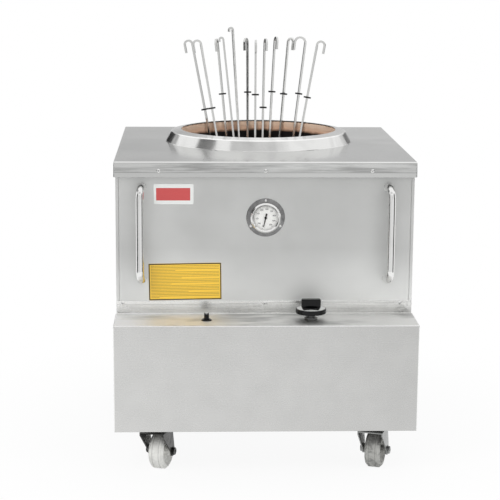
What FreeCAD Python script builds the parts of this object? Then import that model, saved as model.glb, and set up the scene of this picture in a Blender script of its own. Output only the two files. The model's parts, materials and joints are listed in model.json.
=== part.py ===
"""Gas tandoor oven on casters, with its skewers: a parametric FreeCAD document.

Millimetres, +Z up, front towards -Y. The origin is on the floor, under the middle of the oven's
whole length: from the front of the control housing to the end of the gas inlet behind the cabinet.
"""

import FreeCAD, Part

import math
import operator
import os

import Sketcher
from FreeCAD import Placement, Rotation, Vector

DOC = FreeCAD.newDocument("TandoorOven")
SHEET = DOC.addObject("Spreadsheet::Sheet", "Sizes")
PARTS = {}

# Driving dimensions, in millimetres and degrees. Each can be changed by itself.
DIMENSIONS = {
    # cabinet and its folded sheet
    "sheet": 1.5,
    "bend": 3,
    "panel_gap": 0.3,
    "cabinet_width": 807,
    "body_depth": 783,
    "cabinet_height": 710,
    "corner_return": 8,
    "panel_flange": 18,
    "cover_overhang": 15,
    "cover_side_overhang": 4,
    "cover_flange": 42,
    "slot_length": 110,
    "slot_height": 7,
    "slot_step": 16,
    "slot_drop": 150,
    # control housing in front of the cabinet
    "housing_overhang": 3,
    "ledge_depth": 145,
    "housing_height": 291,
    "strip_height": 35.5,
    "strip_inset": 1.5,
    # chassis
    "frame_height": 30,
    "frame_plate": 3,
    "frame_border": 110,
    "frame_side_border": 60,
    "crossbar": 20,
    "air_hole": 20,
    "air_hole_circle": 210,
    "shelf_height": 120,
    "shelf_plate": 4,
    "shelf_inset": 26,
    "shelf_leg": 25,
    # clay pot
    "pot_setback": 70,
    "mouth_radius": 228,
    "pot_rim_setback": 2,
    "neck_wall": 21,
    "neck_length": 30,
    "belly_swell": 31,
    "belly_wall": 34,
    "belly_height": 250,
    "pot_floor": 32,
    "pot_floor_radius": 205,
    "flame_hole": 80,
    "rim_gap": 3,
    "pack_gap": 0.5,
    # collar round the mouth
    "collar_base": 274,
    "collar_shoulder": 258,
    "collar_shoulder_height": 29,
    "collar_height": 35,
    "collar_sheet": 2,
    "collar_round": 5,
    # burner and its gas line
    "burner_radius": 68,
    "burner_height": 36,
    "burner_foot": 28,
    "venturi_radius": 17,
    "venturi_length": 230,
    "spreader_radius": 92,
    "spreader_rise": 18,
    "spreader_foot": 24,
    "supply_x": 300,
    "supply_height": 62,
    "supply_radius": 8,
    "inlet_neck": 10,
    "inlet_radius": 10.65,
    "inlet_reach": 32,
    "feed_radius": 7,
    "pipe_bend": 34,
    "pilot_tube": 3,
    "lead_radius": 1.5,
    # gas valve and control knob
    "control_setback": 66,
    "knob_x": 121,
    "valve_width": 44,
    "valve_depth": 36,
    "valve_drop": 66,
    "neck_radius": 11,
    "neck_rise": 13,
    "locknut_flats": 30,
    "locknut_height": 8,
    "sleeve_radius": 6,
    "stem_radius": 3,
    "running_gap": 0.05,
    "knob_radius": 41,
    "knob_skirt": 13,
    "knob_edge": 1.5,
    "knob_foot_edge": 1,
    "knob_crown": 0.5,
    "knob_lift": 20,
    "knob_travel": 5,
    "grip_length": 52,
    "grip_width": 19,
    "grip_rise": 25,
    # push-button igniter
    "igniter_x": -159,
    "igniter_radius": 8,
    "igniter_drop": 55,
    "igniter_rise": 5,
    "igniter_nut_radius": 15,
    "igniter_nut_height": 3,
    "button_radius": 6.7,
    "button_rise": 20,
    "button_travel": 6,
    # dial thermometer
    "gauge_x": 1,
    "gauge_drop": 153.5,
    "gauge_flange": 52,
    "gauge_case": 38,
    "gauge_rise": 10,
    "gauge_depth": 16,
    "gauge_probe": 222,
    "bezel_radius": 41,
    "bezel_rise": 14,
    "bezel_edge": 3,
    "bezel_lip": 2.5,
    "dial_radius": 33.5,
    "gauge_screw_circle": 46,
    "needle_length": 26,
    "needle_angle": 13,
    # pull handles
    "handle_x": 331.5,
    "handle_centres": 252,
    "handle_height": 513,
    "handle_radius": 11,
    "handle_stand": 43,
    "handle_bend": 30,
    "handle_tilt": 8,
    # plates on the front
    "name_x": -247,
    "name_drop": 89.5,
    "name_width": 107,
    "name_tall": 55,
    "notice_x": -216.5,
    "notice_gap": 2.75,
    "notice_width": 197,
    "notice_tall": 101.5,
    "notice_turn": 0.9,
    "plate_thick": 0.8,
    # screws
    "screw_head": 5,
    "screw_shank": 2.4,
    "screw_length": 11,
    "cover_screw_length": 22,
    "cover_screw_pitch": 287,
    "cover_screw_drop": 24.5,
    "strip_screw_rise": 28,
    # casters
    "caster_height": 128,
    "wheel_radius": 50,
    "wheel_width": 42,
    "caster_x": 294,
    "caster_setback": 53,
    "caster_trail": 36,
    "caster_plate_long": 95,
    "caster_plate_short": 70,
    "caster_bolt_long": 75,
    "caster_bolt_short": 50,
    "race_drop": 6,
    "race_radius": 33,
    "fork_front": 39,
    "swivel_gap": 0.3,
    "fork_sheet": 3,
    "fork_side_gap": 1.5,
    "hub_overhang": 9,
    "axle_radius": 5,
    # skewers
    "skewer_bar": 6,
    "skewer_length": 865,
    "skewer_hook": 12,
    "skewer_tip": 24,
    "skewer_point": 18,
    "stop_radius": 11,
    "stop_thick": 4,
}


class Size:
    """A number together with the sheet expression that it comes from."""

    def __init__(self, number, text):
        self.number = float(number)
        self.text = text

    def __float__(self):
        return self.number

    def __add__(self, other):
        return combine(self, "+", other)

    def __radd__(self, other):
        return combine(other, "+", self)

    def __sub__(self, other):
        return combine(self, "-", other)

    def __rsub__(self, other):
        return combine(other, "-", self)

    def __mul__(self, other):
        return combine(self, "*", other)

    def __rmul__(self, other):
        return combine(other, "*", self)

    def __truediv__(self, other):
        return combine(self, "/", other)

    def __neg__(self):
        return combine(0, "-", self)


OPERATORS = {"+": operator.add, "-": operator.sub, "*": operator.mul, "/": operator.truediv}


def as_size(value):
    """A plain number as a Size, and a Size as it is."""
    if isinstance(value, Size):
        return value
    return Size(value, "(%.10g)" % value)


def combine(left, sign, right):
    """The Size that two sizes give, with its expression."""
    left, right = as_size(left), as_size(right)
    number = OPERATORS[sign](left.number, right.number)
    return Size(number, "(%s %s %s)" % (left.text, sign, right.text))


def sine(angle):
    angle = as_size(angle)
    return Size(math.sin(math.radians(angle.number)), "sin(%s)" % angle.text)


def cosine(angle):
    angle = as_size(angle)
    return Size(math.cos(math.radians(angle.number)), "cos(%s)" % angle.text)


def root(value):
    return Size(math.sqrt(value.number), "sqrt(%s)" % value.text)


def fill_sheet():
    """Write the driving dimensions to the sheet, and give a namespace of them as sizes."""
    sizes = type("Dimensions", (), {})()
    for row, (alias, number) in enumerate(DIMENSIONS.items(), start=1):
        SHEET.set("A%d" % row, alias.replace("_", " "))
        SHEET.set("B%d" % row, str(number))
        SHEET.setAlias("B%d" % row, alias)
        setattr(sizes, alias, Size(number, "Sizes." + alias))
    DOC.recompute()
    return sizes


D = fill_sheet()

# Planes and axes of the whole oven, each worked out from the driving dimensions.
LENGTH = D.ledge_depth + D.body_depth + D.inlet_reach
Y_FRONT = -LENGTH / 2
Y_BODY = Y_FRONT + D.ledge_depth
Y_BACK = Y_BODY + D.body_depth
Y_MIDDLE = Y_BODY + D.body_depth / 2
Y_POT = Y_MIDDLE + D.pot_setback
Y_CONTROLS = Y_FRONT + D.control_setback
HALF = D.cabinet_width / 2
HALF_HOUSING = HALF + D.housing_overhang
Z_BASE = D.caster_height
Z_PAN = Z_BASE + D.frame_height
Z_SHELF = Z_BASE + D.shelf_height
Z_FLOOR = Z_SHELF + D.pot_floor
Z_LEDGE = Z_BASE + D.housing_height
Z_COVER = Z_BASE + D.cabinet_height
Z_RIM = Z_COVER + D.collar_height
Z_SUPPLY = Z_BASE + D.supply_height
GAUGE_HEIGHT = D.cabinet_height - D.gauge_drop
STRIP_TOP = D.housing_height + D.strip_height
FRONT_FOOT = D.frame_height + D.sheet
HEXAGON = 6

TO_FRONT = Rotation(Vector(1, 0, 0), 90)
TO_BACK = Rotation(Vector(1, 0, 0), -90)
AXES = {"x": Rotation(Vector(0, 1, 0), 90), "y": TO_BACK, "z": Rotation()}


# ---------------------------------------------------------------- helpers


def bind(item, name, size):
    """Tie a property to the sheet."""
    item.setExpression(name, as_size(size).text)


def place(item, at, rotation=None):
    """Put an item somewhere, with its place tied to the sheet."""
    item.Placement = Placement(Vector(*[float(a) for a in at]), rotation or Rotation())
    for axis, size in zip("xyz", at):
        bind(item, "Placement.Base." + axis, size)
    return item


def sub_part(label, item):
    """Name a finished sub-part."""
    item.Label = label
    PARTS[label] = item
    return item


def new_name(kind):
    return "%s_%03d" % (kind, len(DOC.Objects))


def block(size, corner):
    """A box from its lowest corner."""
    item = DOC.addObject("Part::Box", new_name("block"))
    for name, length in zip(("Length", "Width", "Height"), size):
        bind(item, name, length)
    return place(item, corner)


def bar(size, centre):
    """A box centred in plan on a point, standing on that point's height."""
    corner = (centre[0] - as_size(size[0]) / 2, centre[1] - as_size(size[1]) / 2, centre[2])
    return block(size, corner)


def cylinder(radius, height, at, axis="z"):
    item = DOC.addObject("Part::Cylinder", new_name("cylinder"))
    bind(item, "Radius", radius)
    bind(item, "Height", height)
    return place(item, at, AXES[axis])


def cone(low, high, height, at, axis="z"):
    item = DOC.addObject("Part::Cone", new_name("cone"))
    bind(item, "Radius1", low)
    bind(item, "Radius2", high)
    bind(item, "Height", height)
    return place(item, at, AXES[axis])


def prism(flats, height, at):
    """A hexagonal prism, given across its flats."""
    item = DOC.addObject("Part::Prism", new_name("prism"))
    item.Polygon = HEXAGON
    bind(item, "Circumradius", flats / 2 / math.cos(math.pi / HEXAGON))
    bind(item, "Height", height)
    return place(item, at)


def fuse(*pieces):
    item = DOC.addObject("Part::MultiFuse", new_name("fuse"))
    item.Shapes = list(pieces)
    item.Refine = True
    return item


def cut(base, *tools):
    item = DOC.addObject("Part::Cut", new_name("cut"))
    item.Base = base
    item.Tool = tools[0] if len(tools) == 1 else fuse(*tools)
    return item


def group(*pieces):
    item = DOC.addObject("Part::Compound", new_name("group"))
    item.Links = list(pieces)
    return item


def new_body(kind):
    return DOC.addObject("PartDesign::Body", new_name(kind))


def origin_plane(body, role):
    for feature in body.Origin.OriginFeatures:
        if feature.Role == role:
            return feature
    raise ValueError(role)


def pin_vertex(sketch, geometry, end, point):
    """Fix one end of a sketch element at a point that is tied to the sheet."""
    for kind, size in zip(("DistanceX", "DistanceY"), point):
        size = as_size(size)
        number = sketch.addConstraint(
            Sketcher.Constraint(kind, -1, 1, geometry, end, float(size))
        )
        sketch.setExpression("Constraints[%d]" % number, size.text)


def arc_between(start, end, radius):
    """The arc from start to end, anticlockwise for a positive radius."""
    chord = end - start
    middle = (start + end) / 2
    side = Vector(-chord.y, chord.x, 0).normalize()
    reach = math.sqrt(max(radius * radius - chord.Length * chord.Length / 4, 0))
    centre = middle + side * math.copysign(reach, radius)
    turned = end if radius < 0 else start
    other = start if radius < 0 else end
    first = math.atan2(turned.y - centre.y, turned.x - centre.x)
    last = math.atan2(other.y - centre.y, other.x - centre.x)
    circle = Part.Circle(centre, Vector(0, 0, 1), abs(radius))
    return Part.ArcOfCircle(circle, first, last)


def add_outline(sketch, points, closed=True):
    """Straight runs and arcs through points; a third entry is the radius of the run that follows."""
    count = len(points)
    runs = count if closed else count - 1
    plain = [Vector(float(p[0]), float(p[1]), 0) for p in points]
    ends = []
    for index in range(runs):
        start, end = plain[index], plain[(index + 1) % count]
        if len(points[index]) == 3:
            radius = as_size(points[index][2])
            number = sketch.addGeometry(arc_between(start, end, float(radius)), False)
            flipped = float(radius) < 0
            size = -radius if flipped else radius
            rule = sketch.addConstraint(Sketcher.Constraint("Radius", number, float(size)))
            sketch.setExpression("Constraints[%d]" % rule, size.text)
            ends.append((number, 2, 1) if flipped else (number, 1, 2))
        else:
            number = sketch.addGeometry(Part.LineSegment(start, end), False)
            ends.append((number, 1, 2))
    for index, (number, first, last) in enumerate(ends):
        if closed or index + 1 < runs:
            after, after_first, _ = ends[(index + 1) % runs]
            sketch.addConstraint(Sketcher.Constraint("Coincident", number, last, after, after_first))
        pin_vertex(sketch, number, first, points[index][:2])
    if not closed:
        pin_vertex(sketch, ends[-1][0], ends[-1][2], points[-1][:2])


def add_circle(sketch, centre, radius):
    radius = as_size(radius)
    middle = Vector(float(centre[0]), float(centre[1]), 0)
    number = sketch.addGeometry(Part.Circle(middle, Vector(0, 0, 1), float(radius)), False)
    pin_vertex(sketch, number, 3, centre)
    rule = sketch.addConstraint(Sketcher.Constraint("Radius", number, float(radius)))
    sketch.setExpression("Constraints[%d]" % rule, radius.text)


def rectangle(low, high):
    """The corners of a rectangle."""
    return [(low[0], low[1]), (high[0], low[1]), (high[0], high[1]), (low[0], high[1])]


def centred(width, height):
    """The corners of a rectangle round the sketch's origin."""
    width, height = as_size(width), as_size(height)
    return rectangle((-width / 2, -height / 2), (width / 2, height / 2))


def draw(body, role, outlines=(), circles=(), lift=None, closed=True):
    """A sketch on one of the body's own planes, lifted off it along its normal."""
    sketch = body.newObject("Sketcher::SketchObject", new_name("sketch"))
    sketch.AttachmentSupport = [(origin_plane(body, role), "")]
    sketch.MapMode = "FlatFace"
    if lift is not None:
        bind(sketch, "AttachmentOffset.Base.z", lift)
    for points in outlines:
        add_outline(sketch, points, closed)
    for centre, radius in circles:
        add_circle(sketch, centre, radius)
    DOC.recompute()
    return sketch


def pad(body, sketch, length, side="One side", reverse=False):
    feature = body.newObject("PartDesign::Pad", new_name("pad"))
    feature.Profile = sketch
    feature.SideType = side
    feature.Reversed = reverse
    bind(feature, "Length", length)
    DOC.recompute()
    return feature


def pocket(body, sketch, length, side="One side", reverse=False):
    """Cut a pocket, and check that it took something away."""
    before = body.Shape.Volume
    feature = body.newObject("PartDesign::Pocket", new_name("pocket"))
    feature.Profile = sketch
    feature.SideType = side
    feature.Reversed = reverse
    bind(feature, "Length", length)
    DOC.recompute()
    if body.Shape.Volume > before - 0.01:
        raise ValueError("a pocket in %s cut nothing" % body.Name)
    return feature


def revolve(body, sketch, axis="V_Axis"):
    feature = body.newObject("PartDesign::Revolution", new_name("revolution"))
    feature.Profile = sketch
    feature.ReferenceAxis = (sketch, [axis])
    feature.Angle = 360
    DOC.recompute()
    return feature


def turned(points):
    """A body of revolution about its own +Z, from (radius, height) points."""
    body = new_body("turned")
    revolve(body, draw(body, "XZ_Plane", [points]))
    return body


def fillet(body, radius, wanted):
    """Round the edges for which wanted(edge) is true."""
    base = body.Tip
    names = ["Edge%d" % (n + 1) for n, edge in enumerate(base.Shape.Edges) if wanted(edge)]
    if not names:
        raise ValueError("no edge to round in %s" % body.Name)
    feature = body.newObject("PartDesign::Fillet", new_name("fillet"))
    feature.Base = (base, names)
    bind(feature, "Radius", radius)
    DOC.recompute()
    return feature


def straight_along(edge, axis):
    """Whether an edge is a straight one along x, y or z."""
    if not isinstance(edge.Curve, (Part.Line, Part.LineSegment)):
        return False
    run = edge.Vertexes[-1].Point - edge.Vertexes[0].Point
    return abs(getattr(run, axis)) > 0.999 * run.Length


def near(value, target):
    return abs(value - float(target)) < 0.01


def rounded_wire(points, radius):
    """Straight runs joined by tangent arcs of one radius."""
    edges = []
    start = points[0]
    for before, corner, after in zip(points, points[1:], points[2:]):
        inward, outward = (before - corner).normalize(), (after - corner).normalize()
        half_turn = inward.getAngle(outward) / 2
        reach = radius / math.tan(half_turn)
        first, last = corner + inward * reach, corner + outward * reach
        bisector = (inward + outward).normalize()
        middle = corner + bisector * (radius / math.sin(half_turn) - radius)
        edges.append(Part.LineSegment(start, first).toShape())
        edges.append(Part.Arc(first, middle, last).toShape())
        start = last
    edges.append(Part.LineSegment(start, points[-1]).toShape())
    return Part.Wire(edges)


def tube(points, radius, bend):
    """A round rod along a route in space; its size and route are read from the sheet."""
    route = [Vector(*[float(c) for c in point]) for point in points]
    spine = rounded_wire(route, float(bend))
    circle = Part.Circle(route[0], route[1] - route[0], float(radius)).toShape()
    shape = spine.makePipeShell([Part.Wire([circle])], True, True)
    item = DOC.addObject("Part::Feature", new_name("tube"))
    item.Shape = Part.Solid(shape) if shape.ShapeType == "Shell" else shape
    return item


# ---------------------------------------------------------------- cabinet


def make_top_cover():
    """The pan-shaped cover: a sheet with four folded flanges and the hole for the pot's neck."""
    body = new_body("cover")
    width = D.cabinet_width + 2 * D.cover_side_overhang
    depth = D.body_depth + 2 * D.cover_overhang
    pad(body, draw(body, "XY_Plane", [centred(width, depth)]), D.cover_flange, reverse=True)
    fillet(body, D.bend, lambda edge: straight_along(edge, "z") or edge.BoundBox.ZMin > -0.01)
    inside = centred(width - 2 * D.sheet, depth - 2 * D.sheet)
    pocket(body, draw(body, "XY_Plane", [inside], lift=-D.sheet), D.cover_flange, reverse=False)
    hole = draw(body, "XY_Plane", circles=[((0, D.pot_setback), cover_hole())])
    pocket(body, hole, D.sheet * 4, side="Symmetric")
    spots = cover_screw_holes(-D.cover_screw_drop)
    pocket(body, draw(body, "XZ_Plane", circles=spots), depth * 2, side="Symmetric")
    sub_part("top_cover", place(body, (0, Y_MIDDLE, Z_COVER)))


def cover_hole():
    """Radius of the hole in the cover, just inside the collar's foot."""
    return D.collar_base - 4 * D.collar_sheet


def cover_screws():
    return [D.cover_screw_pitch * step for step in (-1, 0, 1)]


def cover_screw_holes(height):
    """The row of clearance holes for the cover's screws."""
    return [((x, height), D.screw_shank + D.running_gap) for x in cover_screws()]


def make_mouth_collar():
    """The flared ring of sheet that closes the gap between the cover and the clay rim."""
    slope_in = D.collar_shoulder - D.collar_sheet
    points = [
        (D.collar_base, 0),
        (D.collar_shoulder, D.collar_shoulder_height),
        (D.mouth_radius, D.collar_height),
        (D.mouth_radius, D.collar_height - D.collar_sheet),
        (slope_in, D.collar_shoulder_height - D.collar_sheet),
        (D.collar_base - D.collar_sheet, 0),
    ]
    body = turned(points)

    def shoulder(edge):
        return near(edge.BoundBox.ZMin, D.collar_shoulder_height) and near(
            edge.BoundBox.ZMax, D.collar_shoulder_height
        )

    def lip(edge):
        return near(edge.BoundBox.ZMin, D.collar_height)

    fillet(body, D.collar_round, shoulder)
    fillet(body, D.collar_sheet * 0.6, lip)
    sub_part("mouth_collar", place(body, (0, Y_POT, Z_COVER)))


def make_side_panel(label, side):
    """One side of the cabinet, with a narrow return round each corner."""

    def x(distance):
        return side * (HALF - distance)

    rear_return = D.panel_flange
    points = [
        (x(0), 0),
        (x(D.corner_return), 0),
        (x(D.corner_return), D.sheet),
        (x(D.sheet), D.sheet),
        (x(D.sheet), D.body_depth - D.sheet),
        (x(rear_return), D.body_depth - D.sheet),
        (x(rear_return), D.body_depth),
        (x(0), D.body_depth),
    ]
    body = new_body("side")
    pad(body, draw(body, "XY_Plane", [points]), D.cabinet_height - D.sheet)
    # the front return stops above the chassis, which runs on under the control housing
    notch = rectangle((x(D.corner_return * 2), -D.sheet), (x(D.sheet), D.sheet * 2))
    pocket(body, draw(body, "XY_Plane", [notch]), D.frame_height, reverse=True)

    def corner(edge):
        return straight_along(edge, "z") and near(abs(edge.BoundBox.XMin), HALF)

    fillet(body, D.sheet * 0.9, corner)
    sub_part(label, place(body, (0, Y_BODY, Z_BASE)))


def panel_profile(half_width, flange):
    """A flat sheet with a flange folded back along each side."""
    return [
        (-half_width, 0),
        (half_width, 0),
        (half_width, flange),
        (half_width - D.sheet, flange),
        (half_width - D.sheet, D.sheet),
        (-half_width + D.sheet, D.sheet),
        (-half_width + D.sheet, flange),
        (-half_width, flange),
    ]


def make_front_panel():
    """The front of the cabinet, set between the corner returns, with the burner window low down."""
    body = new_body("front")
    half_width = HALF - D.corner_return - D.panel_gap
    profile = panel_profile(half_width, D.panel_flange)
    pad(body, draw(body, "XY_Plane", [profile]), D.cabinet_height - D.sheet - FRONT_FOOT)
    rise = D.shelf_height - FRONT_FOOT - 2 * D.shelf_plate
    window = rectangle((-half_width + D.frame_side_border, D.bend * 2),
                       (half_width - D.frame_side_border / 2, rise))
    gauge = (D.gauge_x, GAUGE_HEIGHT - FRONT_FOOT)
    round_holes = [(gauge, D.gauge_case + D.panel_gap)]
    for angle in gauge_screw_angles():
        round_holes.append((gauge_screw(gauge, angle), D.screw_shank * 0.8))
    for x in strip_screws():
        spot = (x, D.housing_height + D.strip_screw_rise - FRONT_FOOT)
        round_holes.append((spot, D.screw_shank + D.running_gap))
    round_holes += cover_screw_holes(D.cabinet_height - D.cover_screw_drop - FRONT_FOOT)
    openings = draw(body, "XZ_Plane", [window], round_holes)
    pocket(body, openings, D.sheet * 4, side="Symmetric")
    fillet(body, D.sheet * 0.9,
           lambda edge: straight_along(edge, "z") and near(edge.BoundBox.YMin, 0)
           and near(abs(edge.BoundBox.XMin), half_width))
    sub_part("front_panel", place(body, (0, Y_BODY, Z_PAN + D.sheet)))


def strip_screws():
    """Where the upstand strip is screwed to the cabinet: near both ends, and in the middle."""
    reach = HALF - D.corner_return - 2 * D.screw_head
    return [-reach, 0, reach - D.screw_head * 3]


def make_rear_panel():
    """The back of the cabinet, with ventilation slots and the hole for the gas inlet."""
    body = new_body("rear")
    half_width = HALF - D.panel_flange - D.panel_gap
    profile = panel_profile(half_width, D.panel_flange)
    pad(body, draw(body, "XY_Plane", [profile]), D.cabinet_height - D.sheet)
    slots = []
    for row in range(6):
        low = D.cabinet_height - D.slot_drop + D.slot_step * row
        for column in (-1, 0, 1):
            middle = half_width * 0.5 * column
            slots.append(rectangle((middle - D.slot_length / 2, low),
                                   (middle + D.slot_length / 2, low + D.slot_height)))
    holes = cover_screw_holes(D.cabinet_height - D.cover_screw_drop)
    holes.append(((-D.supply_x, D.supply_height), D.inlet_radius + D.panel_gap))
    pocket(body, draw(body, "XZ_Plane", slots, holes), D.sheet * 4, side="Symmetric")
    # the flanges stop above the chassis and the floor pan
    notch = rectangle((-half_width - D.sheet, D.sheet), (half_width + D.sheet, D.panel_flange * 2))
    pocket(body, draw(body, "XY_Plane", [notch]), D.frame_height + D.sheet, reverse=True)
    fillet(body, D.sheet * 0.9,
           lambda edge: straight_along(edge, "z") and near(edge.BoundBox.YMin, 0)
           and near(abs(edge.BoundBox.XMin), half_width))
    # made like the front panel, then turned to face backwards
    sub_part("rear_panel", place(body, (0, Y_BACK, Z_BASE), Rotation(Vector(0, 0, 1), 180)))


def make_control_housing():
    """Upstand strip, ledge and front in one folded sheet, with a cheek at each end."""
    body = new_body("housing")
    profile = [
        (0, 0),
        (D.sheet, 0),
        (D.sheet, D.housing_height - D.sheet),
        (D.ledge_depth, D.housing_height - D.sheet),
        (D.ledge_depth, STRIP_TOP),
        (D.ledge_depth - D.sheet, STRIP_TOP),
        (D.ledge_depth - D.sheet, D.housing_height),
        (0, D.housing_height),
    ]
    pad(body, draw(body, "YZ_Plane", [profile]), 2 * HALF_HOUSING, side="Symmetric")
    cheek = rectangle((0, 0), (D.ledge_depth, D.housing_height))
    pad(body, draw(body, "YZ_Plane", [cheek], lift=HALF_HOUSING - D.sheet), D.sheet)
    pad(body, draw(body, "YZ_Plane", [cheek], lift=-HALF_HOUSING), D.sheet)
    strip_half = HALF - D.strip_inset
    low, high = D.housing_height, STRIP_TOP + D.sheet
    ends = [rectangle((strip_half, low), (HALF_HOUSING + D.sheet, high)),
            rectangle((-HALF_HOUSING - D.sheet, low), (-strip_half, high))]
    pocket(body, draw(body, "XZ_Plane", ends), D.ledge_depth * 3, side="Symmetric")
    holes = [((D.knob_x, D.control_setback), D.neck_radius + D.panel_gap),
             ((D.igniter_x, D.control_setback), D.igniter_radius + D.panel_gap)]
    ledge = draw(body, "XY_Plane", circles=holes, lift=D.housing_height)
    pocket(body, ledge, D.sheet * 3)
    shank = D.screw_shank + D.running_gap
    spots = [((x, D.housing_height + D.strip_screw_rise), shank) for x in strip_screws()]
    pocket(body, draw(body, "XZ_Plane", circles=spots), D.ledge_depth * 3, side="Symmetric")

    def fold(edge):
        box = edge.BoundBox
        top_front = straight_along(edge, "x") and near(box.YMin, 0) and near(box.ZMin, D.housing_height)
        ledge_end = straight_along(edge, "y") and near(box.ZMin, D.housing_height)
        ledge_end = ledge_end and near(abs(box.XMin), HALF_HOUSING)
        corner = straight_along(edge, "z") and near(box.YMin, 0)
        corner = corner and near(abs(box.XMin), HALF_HOUSING)
        return top_front or ledge_end or corner

    fillet(body, D.bend, fold)
    sub_part("control_housing", place(body, (0, Y_FRONT, Z_BASE)))


# ---------------------------------------------------------------- chassis


def make_base_frame():
    """The welded chassis: an upright border, a bottom plate with a wide opening, one crossbar."""
    body = new_body("chassis")
    half = HALF - D.sheet
    depth = D.ledge_depth + D.body_depth - 2 * D.sheet
    wall = D.frame_plate
    outline = rectangle((-half, 0), (half, depth))
    pad(body, draw(body, "XY_Plane", [outline]), D.frame_height)
    well = rectangle((-half + wall, wall), (half - wall, depth - wall))
    pocket(body, draw(body, "XY_Plane", [well], lift=D.frame_height), D.frame_height - wall)
    opening = rectangle((-half + D.frame_side_border, D.frame_border),
                        (half - D.frame_side_border, depth - D.frame_border))
    pocket(body, draw(body, "XY_Plane", [opening]), wall * 4, side="Symmetric")
    crossbar = rectangle((-half + wall / 2, D.ledge_depth - D.sheet),
                         (half - wall / 2, D.ledge_depth - D.sheet + D.crossbar))
    pad(body, draw(body, "XY_Plane", [crossbar]), D.frame_height)
    holes = [((x, y - Y_FRONT - D.sheet), bolt_hole()) for x, y in caster_bolt_spots()]
    pocket(body, draw(body, "XY_Plane", circles=holes), wall * 4, side="Symmetric")
    sub_part("base_frame", place(body, (0, Y_FRONT + D.sheet, Z_BASE)))


def make_floor_pan():
    """The cabinet's floor, with a ring of air holes round the burner."""
    body = new_body("pan")
    outline = rectangle((-HALF + D.sheet, D.sheet), (HALF - D.sheet, D.body_depth - D.sheet))
    pad(body, draw(body, "XY_Plane", [outline]), D.sheet)
    count = 12
    middle = D.body_depth / 2 + D.pot_setback
    ring = []
    for index in range(count):
        angle = 360 / count * (index + 0.5)
        ring.append(((D.air_hole_circle * cosine(angle), middle + D.air_hole_circle * sine(angle)),
                     D.air_hole))
    pocket(body, draw(body, "XY_Plane", circles=ring), D.sheet * 4, side="Symmetric")
    sub_part("floor_pan", place(body, (0, Y_BODY, Z_PAN)))


def make_pot_shelf():
    """The plate that carries the pot and its packing, on four legs over the floor pan."""
    body = new_body("shelf")
    half = HALF - D.shelf_inset
    depth = D.body_depth - 2 * D.shelf_inset
    pad(body, draw(body, "XY_Plane", [centred(2 * half, depth)]), D.shelf_plate, reverse=True)
    flame_hole = draw(body, "XY_Plane", circles=[((0, D.pot_setback), D.flame_hole)])
    pocket(body, flame_hole, D.shelf_plate * 4, side="Symmetric")
    legs = []
    for x_side in (-1, 1):
        for y_side in (-1, 1):
            outer = (x_side * half, y_side * depth / 2)
            inner = (x_side * (half - D.shelf_leg), y_side * (depth / 2 - D.shelf_leg))
            low = (outer[0] if x_side < 0 else inner[0], outer[1] if y_side < 0 else inner[1])
            high = (inner[0] if x_side < 0 else outer[0], inner[1] if y_side < 0 else outer[1])
            legs.append(rectangle(low, high))
    drop = D.shelf_height - FRONT_FOOT
    pad(body, draw(body, "XY_Plane", legs), drop, reverse=True)
    sub_part("pot_shelf", place(body, (0, Y_MIDDLE, Z_SHELF)))


# ---------------------------------------------------------------- clay pot


def pot_rim_height():
    """Height of the clay rim over the shelf, just under the collar's sloping top."""
    return D.cabinet_height - D.shelf_height + D.collar_height - D.collar_sheet - D.rim_gap


def neck_outside():
    return D.mouth_radius + D.neck_wall


def neck_foot():
    """Height over the shelf at which the belly ends and the neck starts."""
    return pot_rim_height() - D.neck_length


def bulge(swell, rise):
    """The radius of the arc that starts upright at the belly and comes in by swell over a rise."""
    return (swell * swell + rise * rise) / (2 * swell)


def belly_outline(clearance):
    """The outside of the pot from its foot to its neck, as (radius, height[, radius of arc])."""
    belly = neck_outside() + D.belly_swell + clearance
    foot = D.pot_floor_radius + D.belly_wall / 2 + clearance
    return [
        (foot, 0, bulge(belly - foot, D.belly_height)),
        (belly, D.belly_height, bulge(D.belly_swell, neck_foot() - D.belly_height)),
        (neck_outside() + clearance, neck_foot()),
    ]


def make_clay_pot():
    """The clay pot: a floor with a flame hole, a belly, and a narrower neck."""
    rim = pot_rim_height()
    slope = D.rim_gap
    lip = D.mouth_radius + D.pot_rim_setback
    belly = neck_outside() + D.belly_swell - D.belly_wall
    points = [(D.flame_hole, 0)] + belly_outline(0) + [
        (neck_outside(), rim - slope),
        (lip + slope, rim),
        (lip, rim - slope),
        (lip, neck_foot(), -bulge(belly - lip, neck_foot() - D.belly_height)),
        (belly, D.belly_height, -bulge(belly - D.pot_floor_radius, D.belly_height - D.pot_floor)),
        (D.pot_floor_radius, D.pot_floor),
        (D.flame_hole, D.pot_floor),
    ]
    body = turned(points)
    # the thermometer's probe goes through the front of the wall
    way = draw(body, "XZ_Plane", circles=[((D.gauge_x, GAUGE_HEIGHT - D.shelf_height), probe_way())])
    pocket(body, way, D.body_depth, reverse=True)
    sub_part("clay_pot", place(body, (0, Y_POT, Z_SHELF)))


def probe_way():
    """Radius of the hole that the probe goes through."""
    return D.stem_radius * 1.5


def make_insulation():
    """The packing between the pot and the cabinet, with a way through for the probe."""
    half = HALF - D.shelf_inset
    depth = D.body_depth - 2 * D.shelf_inset
    height = D.cabinet_height - D.shelf_height - D.sheet
    pack = bar((2 * half, depth, height), (0, Y_MIDDLE, Z_SHELF))
    top = height + D.cover_flange
    outline = belly_outline(D.pack_gap)
    points = [(0, -D.sheet), (outline[0][0], -D.sheet)] + outline
    points += [(neck_outside() + D.pack_gap, top), (0, top)]
    hollow = place(turned(points), (0, Y_POT, Z_SHELF))
    way = cylinder(probe_way(), D.body_depth / 2, (D.gauge_x, Y_BODY, Z_BASE + GAUGE_HEIGHT), "y")
    sub_part("insulation", cut(pack, hollow, way))


# ---------------------------------------------------------------- burner and gas line


def burner_floor():
    return Z_PAN + D.sheet


def venturi_height():
    return burner_floor() + D.burner_foot + D.venturi_radius


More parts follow.
